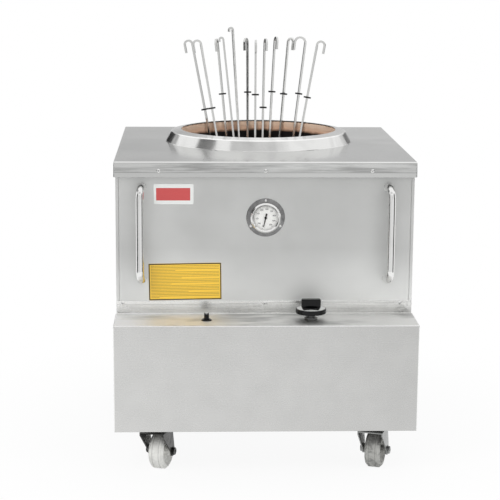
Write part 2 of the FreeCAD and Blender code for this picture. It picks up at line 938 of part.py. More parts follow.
def make_burner():
    """A cast ring burner on three feet, with its venturi running to the front."""
    low = burner_floor() + D.burner_foot
    head = cone(D.burner_radius * 0.8, D.burner_radius, D.burner_height * 0.6, (0, Y_POT, low))
    crown = cone(D.burner_radius, D.burner_radius * 0.6, D.burner_height * 0.4,
                 (0, Y_POT, low + D.burner_height * 0.6))
    venturi = cylinder(D.venturi_radius, D.venturi_length,
                       (0, Y_POT - D.venturi_length, venturi_height()), "y")
    bore = cylinder(D.venturi_radius * 0.7, D.venturi_length / 2,
                    (0, Y_POT - D.venturi_length - D.sheet, venturi_height()), "y")
    feet = []
    for index in range(3):
        angle = 30 + 120 * index
        reach = D.burner_radius * 0.6
        spot = (reach * cosine(angle), Y_POT + reach * sine(angle), burner_floor())
        feet.append(cylinder(D.feed_radius, D.burner_foot + D.sheet, spot))
    ports = []
    for index in range(12):
        angle = 30 * index
        reach = D.burner_radius * 0.72
        spot = (reach * cosine(angle), Y_POT + reach * sine(angle), low + D.burner_height * 0.6)
        ports.append(cylinder(D.pilot_tube, D.burner_height, spot))
    sub_part("burner", cut(fuse(head, crown, venturi, *feet), bore, *ports))


def make_flame_spreader():
    """The steel cap over the flame hole, on three feet on the pot's floor."""
    rise = D.spreader_foot
    points = [
        (0, rise + D.spreader_rise),
        (D.spreader_radius, rise),
        (D.spreader_radius, rise + D.frame_plate),
        (0, rise + D.spreader_rise + D.frame_plate),
    ]
    cap = place(turned(points), (0, Y_POT, Z_FLOOR))
    feet = []
    for index in range(3):
        angle = 90 + 120 * index
        reach = D.flame_hole + D.stem_radius * 1.7
        spot = (reach * cosine(angle), Y_POT + reach * sine(angle), Z_FLOOR)
        feet.append(cylinder(D.stem_radius, rise + D.frame_plate / 2, spot))
    sub_part("flame_spreader", fuse(cap, *feet))


def valve_inlet_height():
    return Z_LEDGE - D.valve_drop * 0.5


def make_gas_inlet_pipe():
    """The supply from the nipple behind the cabinet, under the shelf, up to the valve's side."""
    right = D.knob_x + D.valve_width / 2
    seat = Y_BACK - D.sheet
    shoulder = Y_BACK + D.sheet
    nipple_back = Y_BACK + D.inlet_reach
    route = [
        (D.supply_x, Y_BACK, Z_SUPPLY),
        (D.supply_x, Y_CONTROLS, Z_SUPPLY),
        (D.supply_x, Y_CONTROLS, valve_inlet_height()),
        (right, Y_CONTROLS, valve_inlet_height()),
    ]
    pipe = tube(route, D.supply_radius, D.pipe_bend)
    neck = cylinder(D.inlet_neck, 2 * D.sheet, (D.supply_x, seat, Z_SUPPLY), "y")
    nipple = cylinder(D.inlet_radius, D.inlet_reach - D.sheet, (D.supply_x, shoulder, Z_SUPPLY), "y")
    collar = cylinder(D.inlet_radius * 1.4, D.panel_flange,
                      (D.supply_x, seat - D.panel_flange, Z_SUPPLY), "y")
    bore = cylinder(D.supply_radius * 0.8, D.inlet_reach,
                    (D.supply_x, nipple_back - D.inlet_reach / 2, Z_SUPPLY), "y")
    sub_part("gas_inlet_pipe", cut(fuse(pipe, neck, nipple, collar), bore))


def make_burner_feed_pipe():
    """From the foot of the valve to the injector at the mouth of the venturi."""
    mouth = Y_POT - D.venturi_length
    route = [
        (D.knob_x, Y_CONTROLS, Z_LEDGE - D.valve_drop),
        (D.knob_x, Y_CONTROLS, venturi_height()),
        (0, Y_CONTROLS, venturi_height()),
        (0, mouth - D.sheet, venturi_height()),
    ]
    pipe = tube(route, D.feed_radius, D.pipe_bend)
    injector = cylinder(D.venturi_radius, D.venturi_radius,
                        (0, mouth - D.venturi_radius, venturi_height()), "y")
    sub_part("burner_feed_pipe", fuse(pipe, injector))


def make_pilot_burner():
    """The pilot beside the burner, fed by a thin tube from the valve's left side."""
    left = D.knob_x - D.valve_width / 2
    x = D.knob_x / 2
    low = Z_SHELF - D.frame_height
    end = Y_POT - D.burner_radius
    route = [
        (left, Y_CONTROLS, valve_inlet_height()),
        (x, Y_CONTROLS, valve_inlet_height()),
        (x, Y_CONTROLS, low),
        (x, end, low),
    ]
    pipe = tube(route, D.pilot_tube, D.pipe_bend * 0.5)
    head = cylinder(D.pilot_tube * 2, D.frame_height * 0.6, (x, end, low - D.pilot_tube * 2))
    sub_part("pilot_burner", fuse(pipe, head))


def make_thermocouple():
    """The flame sensor by the pilot, with its lead back to the valve."""
    left = D.knob_x - D.valve_width / 2
    y = Y_CONTROLS + D.valve_depth / 4
    x = D.knob_x / 3
    low = Z_SHELF - D.frame_height * 0.6
    end = Y_POT - D.burner_radius - D.pilot_tube * 2
    start = Z_LEDGE - D.valve_drop * 0.8
    route = [(left, y, start), (x, y, start), (x, y, low), (x, end, low)]
    lead = tube(route, D.lead_radius, D.pipe_bend * 0.5)
    probe = cylinder(D.pilot_tube, D.frame_height, (x, end - D.frame_height, low), "y")
    sub_part("thermocouple", fuse(lead, probe))


def make_spark_electrode():
    """The ceramic electrode at the burner, with its lead from the foot of the igniter."""
    low = Z_SHELF - D.frame_height * 0.6
    x = D.igniter_x / 4
    end = Y_POT - D.burner_radius - D.pilot_tube * 2
    route = [
        (D.igniter_x, Y_CONTROLS, Z_LEDGE - D.igniter_drop),
        (D.igniter_x, Y_CONTROLS, low),
        (x, Y_CONTROLS, low),
        (x, end, low),
    ]
    lead = tube(route, D.lead_radius, D.pipe_bend * 0.5)
    rod = cylinder(D.pilot_tube, D.frame_height * 1.5, (x, end - D.frame_height * 1.5, low), "y")
    sub_part("spark_electrode", fuse(lead, rod))


# ---------------------------------------------------------------- controls


def make_gas_valve():
    """The valve under the ledge; its neck comes up through the ledge and guides the sleeve."""
    at = (D.knob_x, Y_CONTROLS)
    ceiling = Z_LEDGE - D.sheet
    case = bar((D.valve_width, D.valve_depth, D.valve_drop - D.sheet), at + (Z_LEDGE - D.valve_drop,))
    neck = cylinder(D.neck_radius, D.neck_rise + D.sheet, at + (ceiling,))
    depth = D.valve_drop / 2 + D.neck_rise
    bore = cylinder(D.sleeve_radius + D.running_gap, depth + D.sheet,
                    at + (Z_LEDGE + D.neck_rise - depth,))
    sub_part("gas_valve", cut(fuse(case, neck), bore))


def make_valve_locknut():
    at = (D.knob_x, Y_CONTROLS, Z_LEDGE)
    nut = prism(D.locknut_flats, D.locknut_height, at)
    bore = cylinder(D.neck_radius + D.panel_gap, D.locknut_height, at)
    sub_part("valve_locknut", cut(nut, bore))


def make_push_sleeve():
    """The sleeve that the knob presses down into the valve."""
    top = Z_LEDGE + D.knob_lift - D.swivel_gap
    length = D.valve_drop / 2 + D.knob_lift - D.knob_travel * 2
    at = (D.knob_x, Y_CONTROLS, top - length)
    sleeve = cylinder(D.sleeve_radius, length, at)
    bore = cylinder(D.stem_radius + D.running_gap, length, at)
    sub_part("valve_push_sleeve", cut(sleeve, bore))


def make_valve_stem():
    """The spindle that the knob turns inside the sleeve."""
    length = D.valve_drop / 2 + D.knob_lift - D.knob_travel * 2
    low = Z_LEDGE + D.knob_lift - length
    sub_part("valve_stem", cylinder(D.stem_radius, length + D.knob_skirt * 0.8,
                                    (D.knob_x, Y_CONTROLS, low)))


def make_control_knob():
    """A wide skirt with a grip bar across it."""
    body = new_body("knob")
    skirt = [
        (0, 0),
        (D.knob_radius - D.knob_foot_edge, 0),
        (D.knob_radius, D.knob_foot_edge),
        (D.knob_radius, D.knob_skirt - D.knob_crown - D.knob_edge),
        (D.knob_radius - D.knob_edge, D.knob_skirt - D.knob_crown),
        (D.grip_length * 0.6, D.knob_skirt),
        (0, D.knob_skirt),
    ]
    revolve(body, draw(body, "XZ_Plane", [skirt]))
    grip = centred(D.grip_length, D.grip_width)
    pad(body, draw(body, "XY_Plane", [grip], lift=D.knob_skirt * 0.8),
        D.grip_rise + D.knob_skirt * 0.2)
    top = D.knob_skirt + D.grip_rise
    fillet(body, D.grip_width * 0.3,
           lambda edge: straight_along(edge, "z") and edge.BoundBox.ZMax > float(top) - 0.01)
    fillet(body, D.grip_width * 0.2, lambda edge: near(edge.BoundBox.ZMin, top))
    socket = draw(body, "XY_Plane", circles=[((0, 0), D.stem_radius)])
    pocket(body, socket, D.knob_skirt * 0.8, reverse=True)
    sub_part("control_knob", place(body, (D.knob_x, Y_CONTROLS, Z_LEDGE + D.knob_lift)))


def make_igniter():
    """Piezo igniter: body through the ledge, nut on top of it, and the push button."""
    at = (D.igniter_x, Y_CONTROLS)
    foot = Z_LEDGE - D.igniter_drop
    barrel = cylinder(D.igniter_radius, D.igniter_drop + D.igniter_rise, at + (foot,))
    shoulder = cylinder(D.igniter_nut_radius, D.igniter_drop * 0.75 - D.sheet,
                        at + (foot + D.igniter_drop / 4,))
    depth = D.igniter_rise + D.igniter_drop / 2
    bore = cylinder(D.button_radius + D.running_gap, depth, at + (Z_LEDGE + D.igniter_rise - depth,))
    sub_part("igniter_body", cut(fuse(barrel, shoulder), bore))

    nut = cone(D.igniter_nut_radius, D.igniter_nut_radius - D.igniter_nut_height,
               D.igniter_nut_height, at + (Z_LEDGE,))
    way = cylinder(D.igniter_radius + D.panel_gap, D.igniter_nut_height, at + (Z_LEDGE,))
    sub_part("igniter_nut", cut(nut, way))

    length = D.button_rise + D.igniter_drop / 2 - 2 * D.button_travel
    low = Z_LEDGE + D.button_rise - length
    plunger = cylinder(D.button_radius, length, at + (low,))
    saddle = cylinder(D.button_radius, 4 * D.button_radius,
                      (D.igniter_x, Y_CONTROLS - 2 * D.button_radius,
                       Z_LEDGE + D.button_rise + D.button_radius * 0.6), "y")
    sub_part("igniter_button", cut(plunger, saddle))


# ---------------------------------------------------------------- thermometer


def on_gauge(item):
    """Stand an item that is modelled along +Z on the gauge's axis, facing the front."""
    return place(item, (D.gauge_x, Y_BODY, Z_BASE + GAUGE_HEIGHT), TO_FRONT)


def make_thermometer_case():
    """Flange, cup and probe in one piece."""
    wall = D.sheet
    points = [
        (0, -D.gauge_depth - D.gauge_probe),
        (D.stem_radius, -D.gauge_depth - D.gauge_probe),
        (D.stem_radius, -D.gauge_depth),
        (D.gauge_case, -D.gauge_depth),
        (D.gauge_case, 0),
        (D.gauge_flange, 0),
        (D.gauge_flange, wall * 0.6),
        (D.gauge_flange - wall * 0.6, wall),
        (D.gauge_case, wall),
        (D.gauge_case, D.gauge_rise),
        (D.gauge_case - wall, D.gauge_rise),
        (D.gauge_case - wall, dial_level() - D.sheet),
        (D.gauge_case - 2 * wall, dial_level() - D.sheet),
        (D.gauge_case - 2 * wall, wall - D.gauge_depth),
        (0, wall - D.gauge_depth),
    ]
    body = turned(points)
    holes = [(gauge_screw((0, 0), angle), D.screw_shank * 0.8) for angle in gauge_screw_angles()]
    pocket(body, draw(body, "XY_Plane", circles=holes), D.sheet * 4, side="Symmetric")
    sub_part("thermometer_case", on_gauge(body))


def dial_level():
    """Height of the dial's face over the panel."""
    return D.gauge_rise / 2


def gauge_screw_angles():
    return (90, -30, 210)


def gauge_screw(centre, angle):
    """Where one of the gauge's flange screws is, seen from the front."""
    return (centre[0] + D.gauge_screw_circle * cosine(angle),
            centre[1] + D.gauge_screw_circle * sine(angle))


def make_thermometer_front():
    """Dial, needle, glass and bezel."""
    inner = D.gauge_case - D.sheet - D.running_gap * 4
    pivot = D.stem_radius * 0.4
    face = [(pivot + D.running_gap, dial_level() - D.sheet), (inner, dial_level() - D.sheet),
            (inner, dial_level()), (pivot + D.running_gap, dial_level())]
    sub_part("thermometer_dial", on_gauge(turned(face)))

    top = D.gauge_rise
    pane = [(0, top - D.sheet), (inner, top - D.sheet), (inner, top), (0, top)]
    sub_part("thermometer_glass", on_gauge(turned(pane)))

    outer, lip = D.bezel_radius, D.bezel_rise
    ring = [
        (D.gauge_case + D.running_gap * 4, D.sheet * 2),
        (outer - D.bezel_edge / 3, D.sheet * 2),
        (outer, D.sheet * 3),
        (outer, lip - D.bezel_edge),
        (outer - D.bezel_edge, lip),
        (D.dial_radius + D.bezel_lip, lip),
        (D.dial_radius, lip - D.bezel_lip),
        (D.dial_radius, top + D.running_gap * 4),
        (D.gauge_case + D.running_gap * 4, top + D.running_gap * 4),
    ]
    sub_part("thermometer_bezel", on_gauge(turned(ring)))


def make_thermometer_needle():
    """The pointer on its pivot, at rest just left of straight down."""
    body = new_body("needle")
    low = D.sheet * 0.4
    half = D.stem_radius * 0.5
    tail = D.needle_length * 0.45
    pointer = [(-half, 0), (-half * 0.3, -D.needle_length), (half * 0.3, -D.needle_length),
               (half, 0), (half * 1.5, tail), (-half * 1.5, tail)]
    pad(body, draw(body, "XY_Plane", [pointer], lift=low), D.sheet * 0.5)
    hub = draw(body, "XY_Plane", circles=[((0, 0), D.stem_radius)], lift=low * 0.5)
    pad(body, hub, D.sheet)
    pivot = draw(body, "XY_Plane", circles=[((0, 0), D.stem_radius * 0.4)], lift=-D.sheet)
    pad(body, pivot, D.sheet * 2)
    turn = Rotation(Vector(0, 1, 0), float(D.needle_angle)) * TO_FRONT
    at = (D.gauge_x, Y_BODY - dial_level(), Z_BASE + GAUGE_HEIGHT)
    sub_part("thermometer_needle", place(body, at, turn))


# ---------------------------------------------------------------- handles, plates and screws


def make_handle(label, side):
    """A bow handle of round bar whose grip leans outwards; its feet are cut flush with the panel."""
    body = new_body("handle")
    half = D.handle_centres / 2
    stand, bend = D.handle_stand, D.handle_bend
    start = -D.handle_radius
    path = [
        (start, -half),
        (stand - bend, -half, bend),
        (stand, bend - half),
        (stand, half - bend, bend),
        (stand - bend, half),
        (start, half),
    ]
    spine = draw(body, "XZ_Plane", [path], closed=False)
    section = draw(body, "YZ_Plane", circles=[((0, -half), D.handle_radius)], lift=start)
    pipe = body.newObject("PartDesign::AdditivePipe", new_name("pipe"))
    pipe.Profile = section
    pipe.Spine = spine
    DOC.recompute()
    # the panel's plane, seen in the handle's own tilted frame
    normal = (cosine(D.handle_tilt), -side * sine(D.handle_tilt))
    along = (-normal[1], normal[0])
    reach = D.handle_stand
    corners = []
    for step, back in ((-1, 0), (1, 0), (1, 1), (-1, 1)):
        corners.append(tuple(reach * (step * along[i] - back * normal[i]) for i in (0, 1)))
    pocket(body, draw(body, "XY_Plane", [corners]), D.handle_centres * 2, side="Symmetric")
    turn = Rotation(Vector(0, 0, 1), -90 + side * float(D.handle_tilt))
    sub_part(label, place(body, (side * D.handle_x, Y_BODY, Z_BASE + D.handle_height), turn))


def make_plate(label, x, height, width, tall, turn, corner):
    """A thin plate on the front panel."""
    body = new_body("plate")
    pad(body, draw(body, "XY_Plane", [centred(width, tall)]), D.plate_thick)
    fillet(body, corner, lambda edge: straight_along(edge, "z"))
    facing = Rotation(Vector(0, 1, 0), -float(turn)) * TO_FRONT
    sub_part(label, place(body, (x, Y_BODY, Z_BASE + height), facing))


def make_screw(at, rotation, length, scale=1):
    """A domed screw with its head on local +Z."""
    head = D.screw_head * scale
    shank = D.screw_shank * scale
    points = [
        (0, -length * scale),
        (shank, -length * scale),
        (shank, 0),
        (head, 0),
        (head, head * 0.16),
        (head * 0.62, head * 0.42),
        (shank * 0.7, head * 0.46),
        (shank * 0.7, head * 0.2),
        (0, head * 0.2),
    ]
    return place(turned(points), at, rotation)


def make_screws():
    """Screws of the cover's flanges and the upstand strip, and the gauge's smaller ones."""
    screws = []
    height = Z_COVER - D.cover_screw_drop
    long = D.cover_screw_length
    for x in cover_screws():
        screws.append(make_screw((x, Y_BODY - D.cover_overhang, height), TO_FRONT, long))
        screws.append(make_screw((x, Y_BACK + D.cover_overhang, height), TO_BACK, long))
    for x in strip_screws():
        at = (x, Y_BODY - D.sheet, Z_LEDGE + D.strip_screw_rise)
        screws.append(make_screw(at, TO_FRONT, D.screw_length))
    sub_part("panel_screws", group(*screws))

    small = []
    for angle in gauge_screw_angles():
        x, z = gauge_screw((D.gauge_x, Z_BASE + GAUGE_HEIGHT), angle)
        small.append(make_screw((x, Y_BODY - D.sheet, z), TO_FRONT, D.screw_length, 0.74))
    sub_part("thermometer_screws", group(*small))


# ---------------------------------------------------------------- casters


# each caster: its name, its side, its end, and the way its wheel trails, in degrees about +Z
CASTERS = (
    ("front_left", -1, -1, 71),
    ("front_right", 1, -1, 71),
    ("rear_left", -1, 1, 15),
    ("rear_right", 1, 1, 215),
)


def caster_centre(side, end):
    """The swivel axis of one caster, in plan."""
    middle = Y_FRONT + (D.ledge_depth + D.body_depth) / 2
    reach = (D.ledge_depth + D.body_depth) / 2 - D.caster_setback
    return side * D.caster_x, middle + end * reach


def bolt_hole():
    return D.axle_radius * 0.8 + D.running_gap


def caster_bolt_spots():
    spots = []
    for _, side, end, _ in CASTERS:
        x, y = caster_centre(side, end)
        for along in (-1, 1):
            for across in (-1, 1):
                spots.append((x + along * D.caster_bolt_long / 2, y + across * D.caster_bolt_short / 2))
    return spots


def make_caster_plates():
    """Top plates with their ball races and king pins."""
    plates = []
    for _, side, end, _ in CASTERS:
        x, y = caster_centre(side, end)
        top = Z_BASE - D.frame_plate
        plate = bar((D.caster_plate_long, D.caster_plate_short, D.frame_plate), (x, y, top))
        race = cone(D.race_radius, D.race_radius + D.sheet, D.race_drop, (x, y, top - D.race_drop))
        crown = top - D.race_drop - D.swivel_gap
        pin_length = D.race_drop + D.fork_sheet * 2 + 2 * D.swivel_gap
        pin = cylinder(D.axle_radius, pin_length, (x, y, top - pin_length))
        rivet = cylinder(D.axle_radius * 2, D.fork_sheet,
                         (x, y, crown - 2 * D.fork_sheet - D.swivel_gap))
        holes = []
        for along in (-1, 1):
            for across in (-1, 1):
                spot = (x + along * D.caster_bolt_long / 2, y + across * D.caster_bolt_short / 2, top)
                holes.append(cylinder(bolt_hole(), D.frame_plate, spot))
        plates.append(cut(fuse(plate, race, pin, rivet), *holes))
    sub_part("caster_plates", group(*plates))


def make_caster_bolts():
    """Four bolts a caster: head under the plate, nut on the chassis."""
    bolts = []
    for x, y in caster_bolt_spots():
        low = Z_BASE - D.frame_plate
        head = cylinder(D.axle_radius * 1.2, D.fork_sheet * 1.3, (x, y, low - D.fork_sheet * 1.3))
        length = 2 * D.frame_plate + 2 * D.fork_sheet
        shank = cylinder(D.axle_radius * 0.8, length, (x, y, low))
        nut = prism(D.axle_radius * 2.4, D.fork_sheet * 1.5, (x, y, Z_BASE + D.frame_plate))
        bolts.append(fuse(head, shank, nut))
    sub_part("caster_bolts", group(*bolts))


def fork_half():
    """Half of the fork's inner width."""
    return D.wheel_width / 2 + D.hub_overhang + D.fork_side_gap


def make_caster(name, side, end, trail_angle):
    """One fork with its axle, and its wheel, trailing along local +X."""
    x, y = caster_centre(side, end)
    crown = Z_BASE - D.frame_plate - D.race_drop - D.swivel_gap
    drop = crown - D.wheel_radius
    eye = D.axle_radius * 2.8
    trail = D.caster_trail
    outline = [
        (-D.fork_front, 0),
        (-D.fork_front, -D.fork_sheet * 3),
        (trail - eye, -drop, eye),
        (trail, -drop - eye, eye),
        (trail + eye, -drop),
        (trail * 0.9, 0),
    ]
    body = new_body("fork")
    width = 2 * (fork_half() + D.fork_sheet)
    pad(body, draw(body, "XZ_Plane", [outline]), width, side="Symmetric")
    inside = rectangle((-trail * 3, -drop - eye * 2), (trail * 3, -D.fork_sheet))
    pocket(body, draw(body, "XZ_Plane", [inside]), 2 * fork_half(), side="Symmetric")
    king = draw(body, "XY_Plane", circles=[((0, 0), D.axle_radius + D.running_gap)])
    pocket(body, king, D.fork_sheet * 4, side="Symmetric")
    eyes = draw(body, "XZ_Plane", circles=[((trail, -drop), D.axle_radius)])
    pocket(body, eyes, width * 2, side="Symmetric")
    turn = Rotation(Vector(0, 0, 1), trail_angle)
    place(body, (x, y, crown), turn)

    axle_x, axle_y = x + trail * cosine(trail_angle), y + trail * sine(trail_angle)
    across = turn * TO_FRONT
    half = width / 2
    shaft = [
        (0, -half - D.fork_sheet * 2),
        (D.axle_radius * 1.8, -half - D.fork_sheet * 2),
        (D.axle_radius * 1.8, -half),
        (D.axle_radius, -half),
        (D.axle_radius, half),
        (D.axle_radius * 1.8, half),
        (D.axle_radius * 1.8, half + D.fork_sheet * 1.6),
        (0, half + D.fork_sheet * 1.6),
    ]
    axle = place(turned(shaft), (axle_x, axle_y, D.wheel_radius), across)
    sub_part("caster_fork_" + name, group(body, axle))

    hub, tyre = D.wheel_width / 2 + D.hub_overhang, D.wheel_width / 2
    bore, bevel, web = D.axle_radius + D.running_gap, D.wheel_width * 0.16, D.wheel_width * 0.28
    boss, rim = D.axle_radius * 2.6, D.wheel_radius * 0.76
    half_profile = [(bore, hub), (boss, hub), (boss, web), (rim - bevel, web), (rim, tyre),
                    (D.wheel_radius - bevel, tyre), (D.wheel_radius, tyre - bevel)]
    profile = half_profile + [(radius, -level) for radius, level in reversed(half_profile)]
    wheel = place(turned(profile), (axle_x, axle_y, D.wheel_radius), across)
    sub_part("caster_wheel_" + name, wheel)


# ---------------------------------------------------------------- skewers


# each skewer: where it leans on the rim (degrees), where its point stands on the pot's floor
# (right of and behind the pot's axis), which way its hook opens (degrees), the height of its
# stop along the bar, or nothing for the two with a small eye and no stop, the size of its hook
# against the usual one, and by how much it is shorter than the usual bar
SKEWERS = (
    (132, -35, 124, 165, 642, 1, 4),
    (125, -26, 104, 195, 645, 1, 4),
    (115, -37, 140, 255, 679, 1, 15),
    (109, -9, 120, 180, None, 0.5, 3),
    (104, -20, 138, 200, None, 0.5, -21),
    (96, -20, 156, 246, 680, 1, 17),
    (90, -3, 142, 270, 674, 1, 21),
    (84, 9, 126, 282, 637, 1, 14),
    (78, 14, 144, 285, 684, 1, 10),
    (69, 29, 130, 306, 680, 1, 9),
    (57, 46, 116, 194, 685, 1.4, 4),
    (50, 34, 100, 340, 681, 1, 4),
)


def skewer_line(rim_angle, foot_x, foot_back, hook_turn):
    """The foot of a leaning skewer, and the run from it to the mouth's edge."""
    # half of the square bar, measured towards the edge that it leans on
    facing = math.radians(rim_angle - hook_turn)
    half = D.skewer_bar / 2 * (abs(math.cos(facing)) + abs(math.sin(facing)))
    lean_radius = D.mouth_radius - half - D.swivel_gap
    foot = (as_size(foot_x), Y_POT + foot_back, Z_FLOOR + D.swivel_gap)
    rim = (lean_radius * cosine(rim_angle), Y_POT + lean_radius * sine(rim_angle), Z_RIM)
    return foot, [high - low for high, low in zip(rim, foot)]


def make_skewer(number, rim_angle, foot_x, foot_back, hook_turn, stop_height, hook_size, shorter):
    """A square bar with a ground point, a hook at the top and a stop part of the way up."""
    has_stop = stop_height is not None
    hook = D.skewer_hook * hook_size
    tip_length = D.skewer_tip if has_stop else hook
    length = D.skewer_length - shorter
    bar_half = D.skewer_bar / 2
    body = new_body("skewer")
    tip = draw(body, "XY_Plane", [centred(D.skewer_bar * 0.2, D.skewer_bar * 0.2)])
    root_section = draw(body, "XY_Plane", [centred(D.skewer_bar, D.skewer_bar)], lift=D.skewer_point)
    point = body.newObject("PartDesign::AdditiveLoft", new_name("loft"))
    point.Profile = tip
    point.Sections = [root_section]
    DOC.recompute()
    bend_height = length - hook - bar_half
    path = [
        (0, D.skewer_point),
        (0, bend_height, -hook),
        (hook, bend_height + hook, -hook),
        (2 * hook, bend_height),
        (2 * hook, bend_height - tip_length),
    ]
    spine = draw(body, "XZ_Plane", [path], closed=False)
    section = draw(body, "XY_Plane", [centred(D.skewer_bar, D.skewer_bar)], lift=D.skewer_point)
    shaft = body.newObject("PartDesign::AdditivePipe", new_name("pipe"))
    shaft.Profile = section
    shaft.Spine = spine
    DOC.recompute()
    turn = Rotation(Vector(0, 0, 1), hook_turn)
    body.Placement = Placement(Vector(), turn)
    pieces = [body]
    if has_stop:
        stop = cone(D.stop_radius, D.skewer_bar, D.stop_thick, (0, 0, stop_height))
        way = block((D.skewer_bar, D.skewer_bar, D.skewer_bar), (0, 0, 0))
        corner = turn.multVec(Vector(-0.5, -0.5, 0))
        place(way, (D.skewer_bar * corner.x, D.skewer_bar * corner.y, stop_height - D.sheet), turn)
        pieces.append(cut(stop, way))
    skewer = group(*pieces)
    foot, run = skewer_line(rim_angle, foot_x, foot_back, hook_turn)
    flat = root(run[0] * run[0] + run[1] * run[1])
    axis = Vector(-float(run[1]), float(run[0]), 0)
    lean = math.degrees(math.atan2(float(flat), float(run[2])))
    place(skewer, foot, Rotation(axis, lean))
    sub_part("skewer_%02d" % number, skewer)


# ---------------------------------------------------------------- whole oven


def build():
    make_top_cover()
    make_mouth_collar()
    make_side_panel("left_side_panel", -1)
    make_side_panel("right_side_panel", 1)
    make_front_panel()
    make_rear_panel()
    make_control_housing()
    make_base_frame()
    make_floor_pan()
    make_pot_shelf()
    make_clay_pot()
    make_insulation()
    make_burner()
    make_flame_spreader()
    make_gas_inlet_pipe()
    make_burner_feed_pipe()
    make_pilot_burner()
    make_thermocouple()
    make_spark_electrode()
    make_gas_valve()
    make_valve_locknut()
    make_push_sleeve()
    make_valve_stem()
    make_control_knob()
    make_igniter()
    make_thermometer_case()
    make_thermometer_front()
    make_thermometer_needle()
    make_handle("left_handle", -1)
    make_handle("right_handle", 1)
    make_plate("name_plate", D.name_x, D.cabinet_height - D.name_drop, D.name_width, D.name_tall,
               0, D.bend)
    make_plate("notice_plate", D.notice_x, STRIP_TOP + D.notice_gap + D.notice_tall / 2,
               D.notice_width, D.notice_tall, D.notice_turn, D.bend / 2)
    make_screws()
    make_caster_plates()
    make_caster_bolts()
    for caster in CASTERS:
        make_caster(*caster)
    for number, skewer in enumerate(SKEWERS, start=1):
        make_skewer(number, *skewer)


def check():
    """Stop if any object failed or any sub-part has no good shape."""
    DOC.recompute()
    for item in DOC.Objects:
        if "Invalid" in item.State or "Error" in item.State:
            raise RuntimeError("%s (%s) failed" % (item.Name, item.Label))
    for label, item in PARTS.items():
        if item.Shape.isNull() or not item.Shape.isValid() or not item.Shape.Solids:
            raise RuntimeError("%s has no good shape" % label)


def export():
    os.makedirs("parts", exist_ok=True)
    for label, item in PARTS.items():
        item.Shape.exportStep(os.path.join("parts", label + ".step"))


build()
check()
export()
print(len(PARTS), "sub-parts written")
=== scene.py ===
"""A gas tandoor oven on casters: its looks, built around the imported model. Metres, +Z up, front at -Y."""
import json
import math
import random

import bpy
from mathutils import Matrix, Vector


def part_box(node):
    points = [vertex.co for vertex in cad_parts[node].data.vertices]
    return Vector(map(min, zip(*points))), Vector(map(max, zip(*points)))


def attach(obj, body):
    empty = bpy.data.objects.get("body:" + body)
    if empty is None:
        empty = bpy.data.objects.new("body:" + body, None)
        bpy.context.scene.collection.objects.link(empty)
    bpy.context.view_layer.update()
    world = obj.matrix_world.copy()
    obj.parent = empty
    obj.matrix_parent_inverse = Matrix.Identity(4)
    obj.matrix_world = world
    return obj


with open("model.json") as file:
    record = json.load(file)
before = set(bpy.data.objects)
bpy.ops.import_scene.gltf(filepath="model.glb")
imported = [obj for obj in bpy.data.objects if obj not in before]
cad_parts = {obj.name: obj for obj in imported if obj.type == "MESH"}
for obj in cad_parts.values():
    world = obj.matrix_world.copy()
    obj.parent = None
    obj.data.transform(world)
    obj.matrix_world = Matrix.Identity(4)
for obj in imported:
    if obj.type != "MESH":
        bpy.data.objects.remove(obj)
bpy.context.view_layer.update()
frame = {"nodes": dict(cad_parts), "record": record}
NODES = frame["nodes"]
MM = 0.001
TURN = 2 * math.pi
MOUTH_AXIS = (0.0, 0.1265)          # x, y
COVER_EDGE = 0.834                  # height of the fold between the cover's top and its flange
HEM_LINE = 0.8085                   # height of the crease over the flange's hem
STRIP_TOP = 0.4545                  # height of the upstand strip's turned edge
LEDGE_TOP = 0.418                   # height of the housing's ledge
STRIP_FOLD = -0.339                 # y of the fold between the ledge and the strip
PANEL_FACE = -335.6                 # mm, y of the front panel with its plates and welds
BRASS = (0.72, 0.52, 0.24, 1)
# corners whose wheels are painted lit, light and clean, with forks painted dark as shade; the other wheels
# are painted shaded, darker and mottled
PAINTED_LIT_WHEELS = ("front_left", "rear_right")
GAUGE = (1.0 * MM, 684.5 * MM)      # x, z of the thermometer's axis
HANDLE_X = 331.5                    # mm, from the middle to each handle
HANDLE_ENDS = (515, 767)            # mm, heights of the handles' ends
STRIP_RIVETS = (-385.5, 0.0, 370.5)     # mm, x of the rivets in the strip
COVER_RIVETS = (-287.0, 0.0, 287.0)     # mm, x of the rivets in the cover's flange
random.seed(7)


def linked(name, data):
    """A new object in the scene."""
    made = bpy.data.objects.new(name, data)
    bpy.context.scene.collection.objects.link(made)
    return made


# ---------------------------------------------------------------- camera, world and light

# name, place, aim, size, watts
LAMPS = (("key", (-2.4, -3.0, 3.4), (0, 0, 0.5), 2.2, 70),
         ("fill", (3.2, -2.2, 1.8), (0, 0, 0.5), 2.4, 30),
         ("back", (0.6, 3.2, 2.6), (0, 0, 0.6), 2.4, 28))
# name, place, aim, width, height, and how bright the left and the right end are
CARDS = (("card_front", (0, -2.4, 1.15), (0, 0, 1.15), 5.0, 2.4, 0.72, 0.86),
         ("card_back", (0, 2.6, 1.35), (0, 0, 1.35), 6.0, 1.5, 0.7, 0.5),
         ("flag_left", (-2.0, -1.05, 0.9), (0, -0.4, 0.9), 1.1, 2.4, 0.03, 0.03),
         ("flag_right", (2.0, -1.05, 0.9), (0, -0.4, 0.9), 1.1, 2.4, 0.03, 0.03),
         ("flag_back_left", (-1.25, 2.28, 1.15), (0, 0.13, 0.85), 1.0, 0.7, 0.02, 0.05),
         ("flag_back_right", (1.3, 2.25, 1.1), (0, 0.13, 0.85), 0.9, 0.6, 0.15, 0.3),
         ("flag_high_left", (-1.65, -0.25, 2.17), (0, 0.13, 0.85), 0.8, 0.7, 0.14, 0.3),
         ("canopy", (0, -1.9, 3.0), (0, 0.1, 0.85), 3.4, 0.9, 0.55, 0.95))


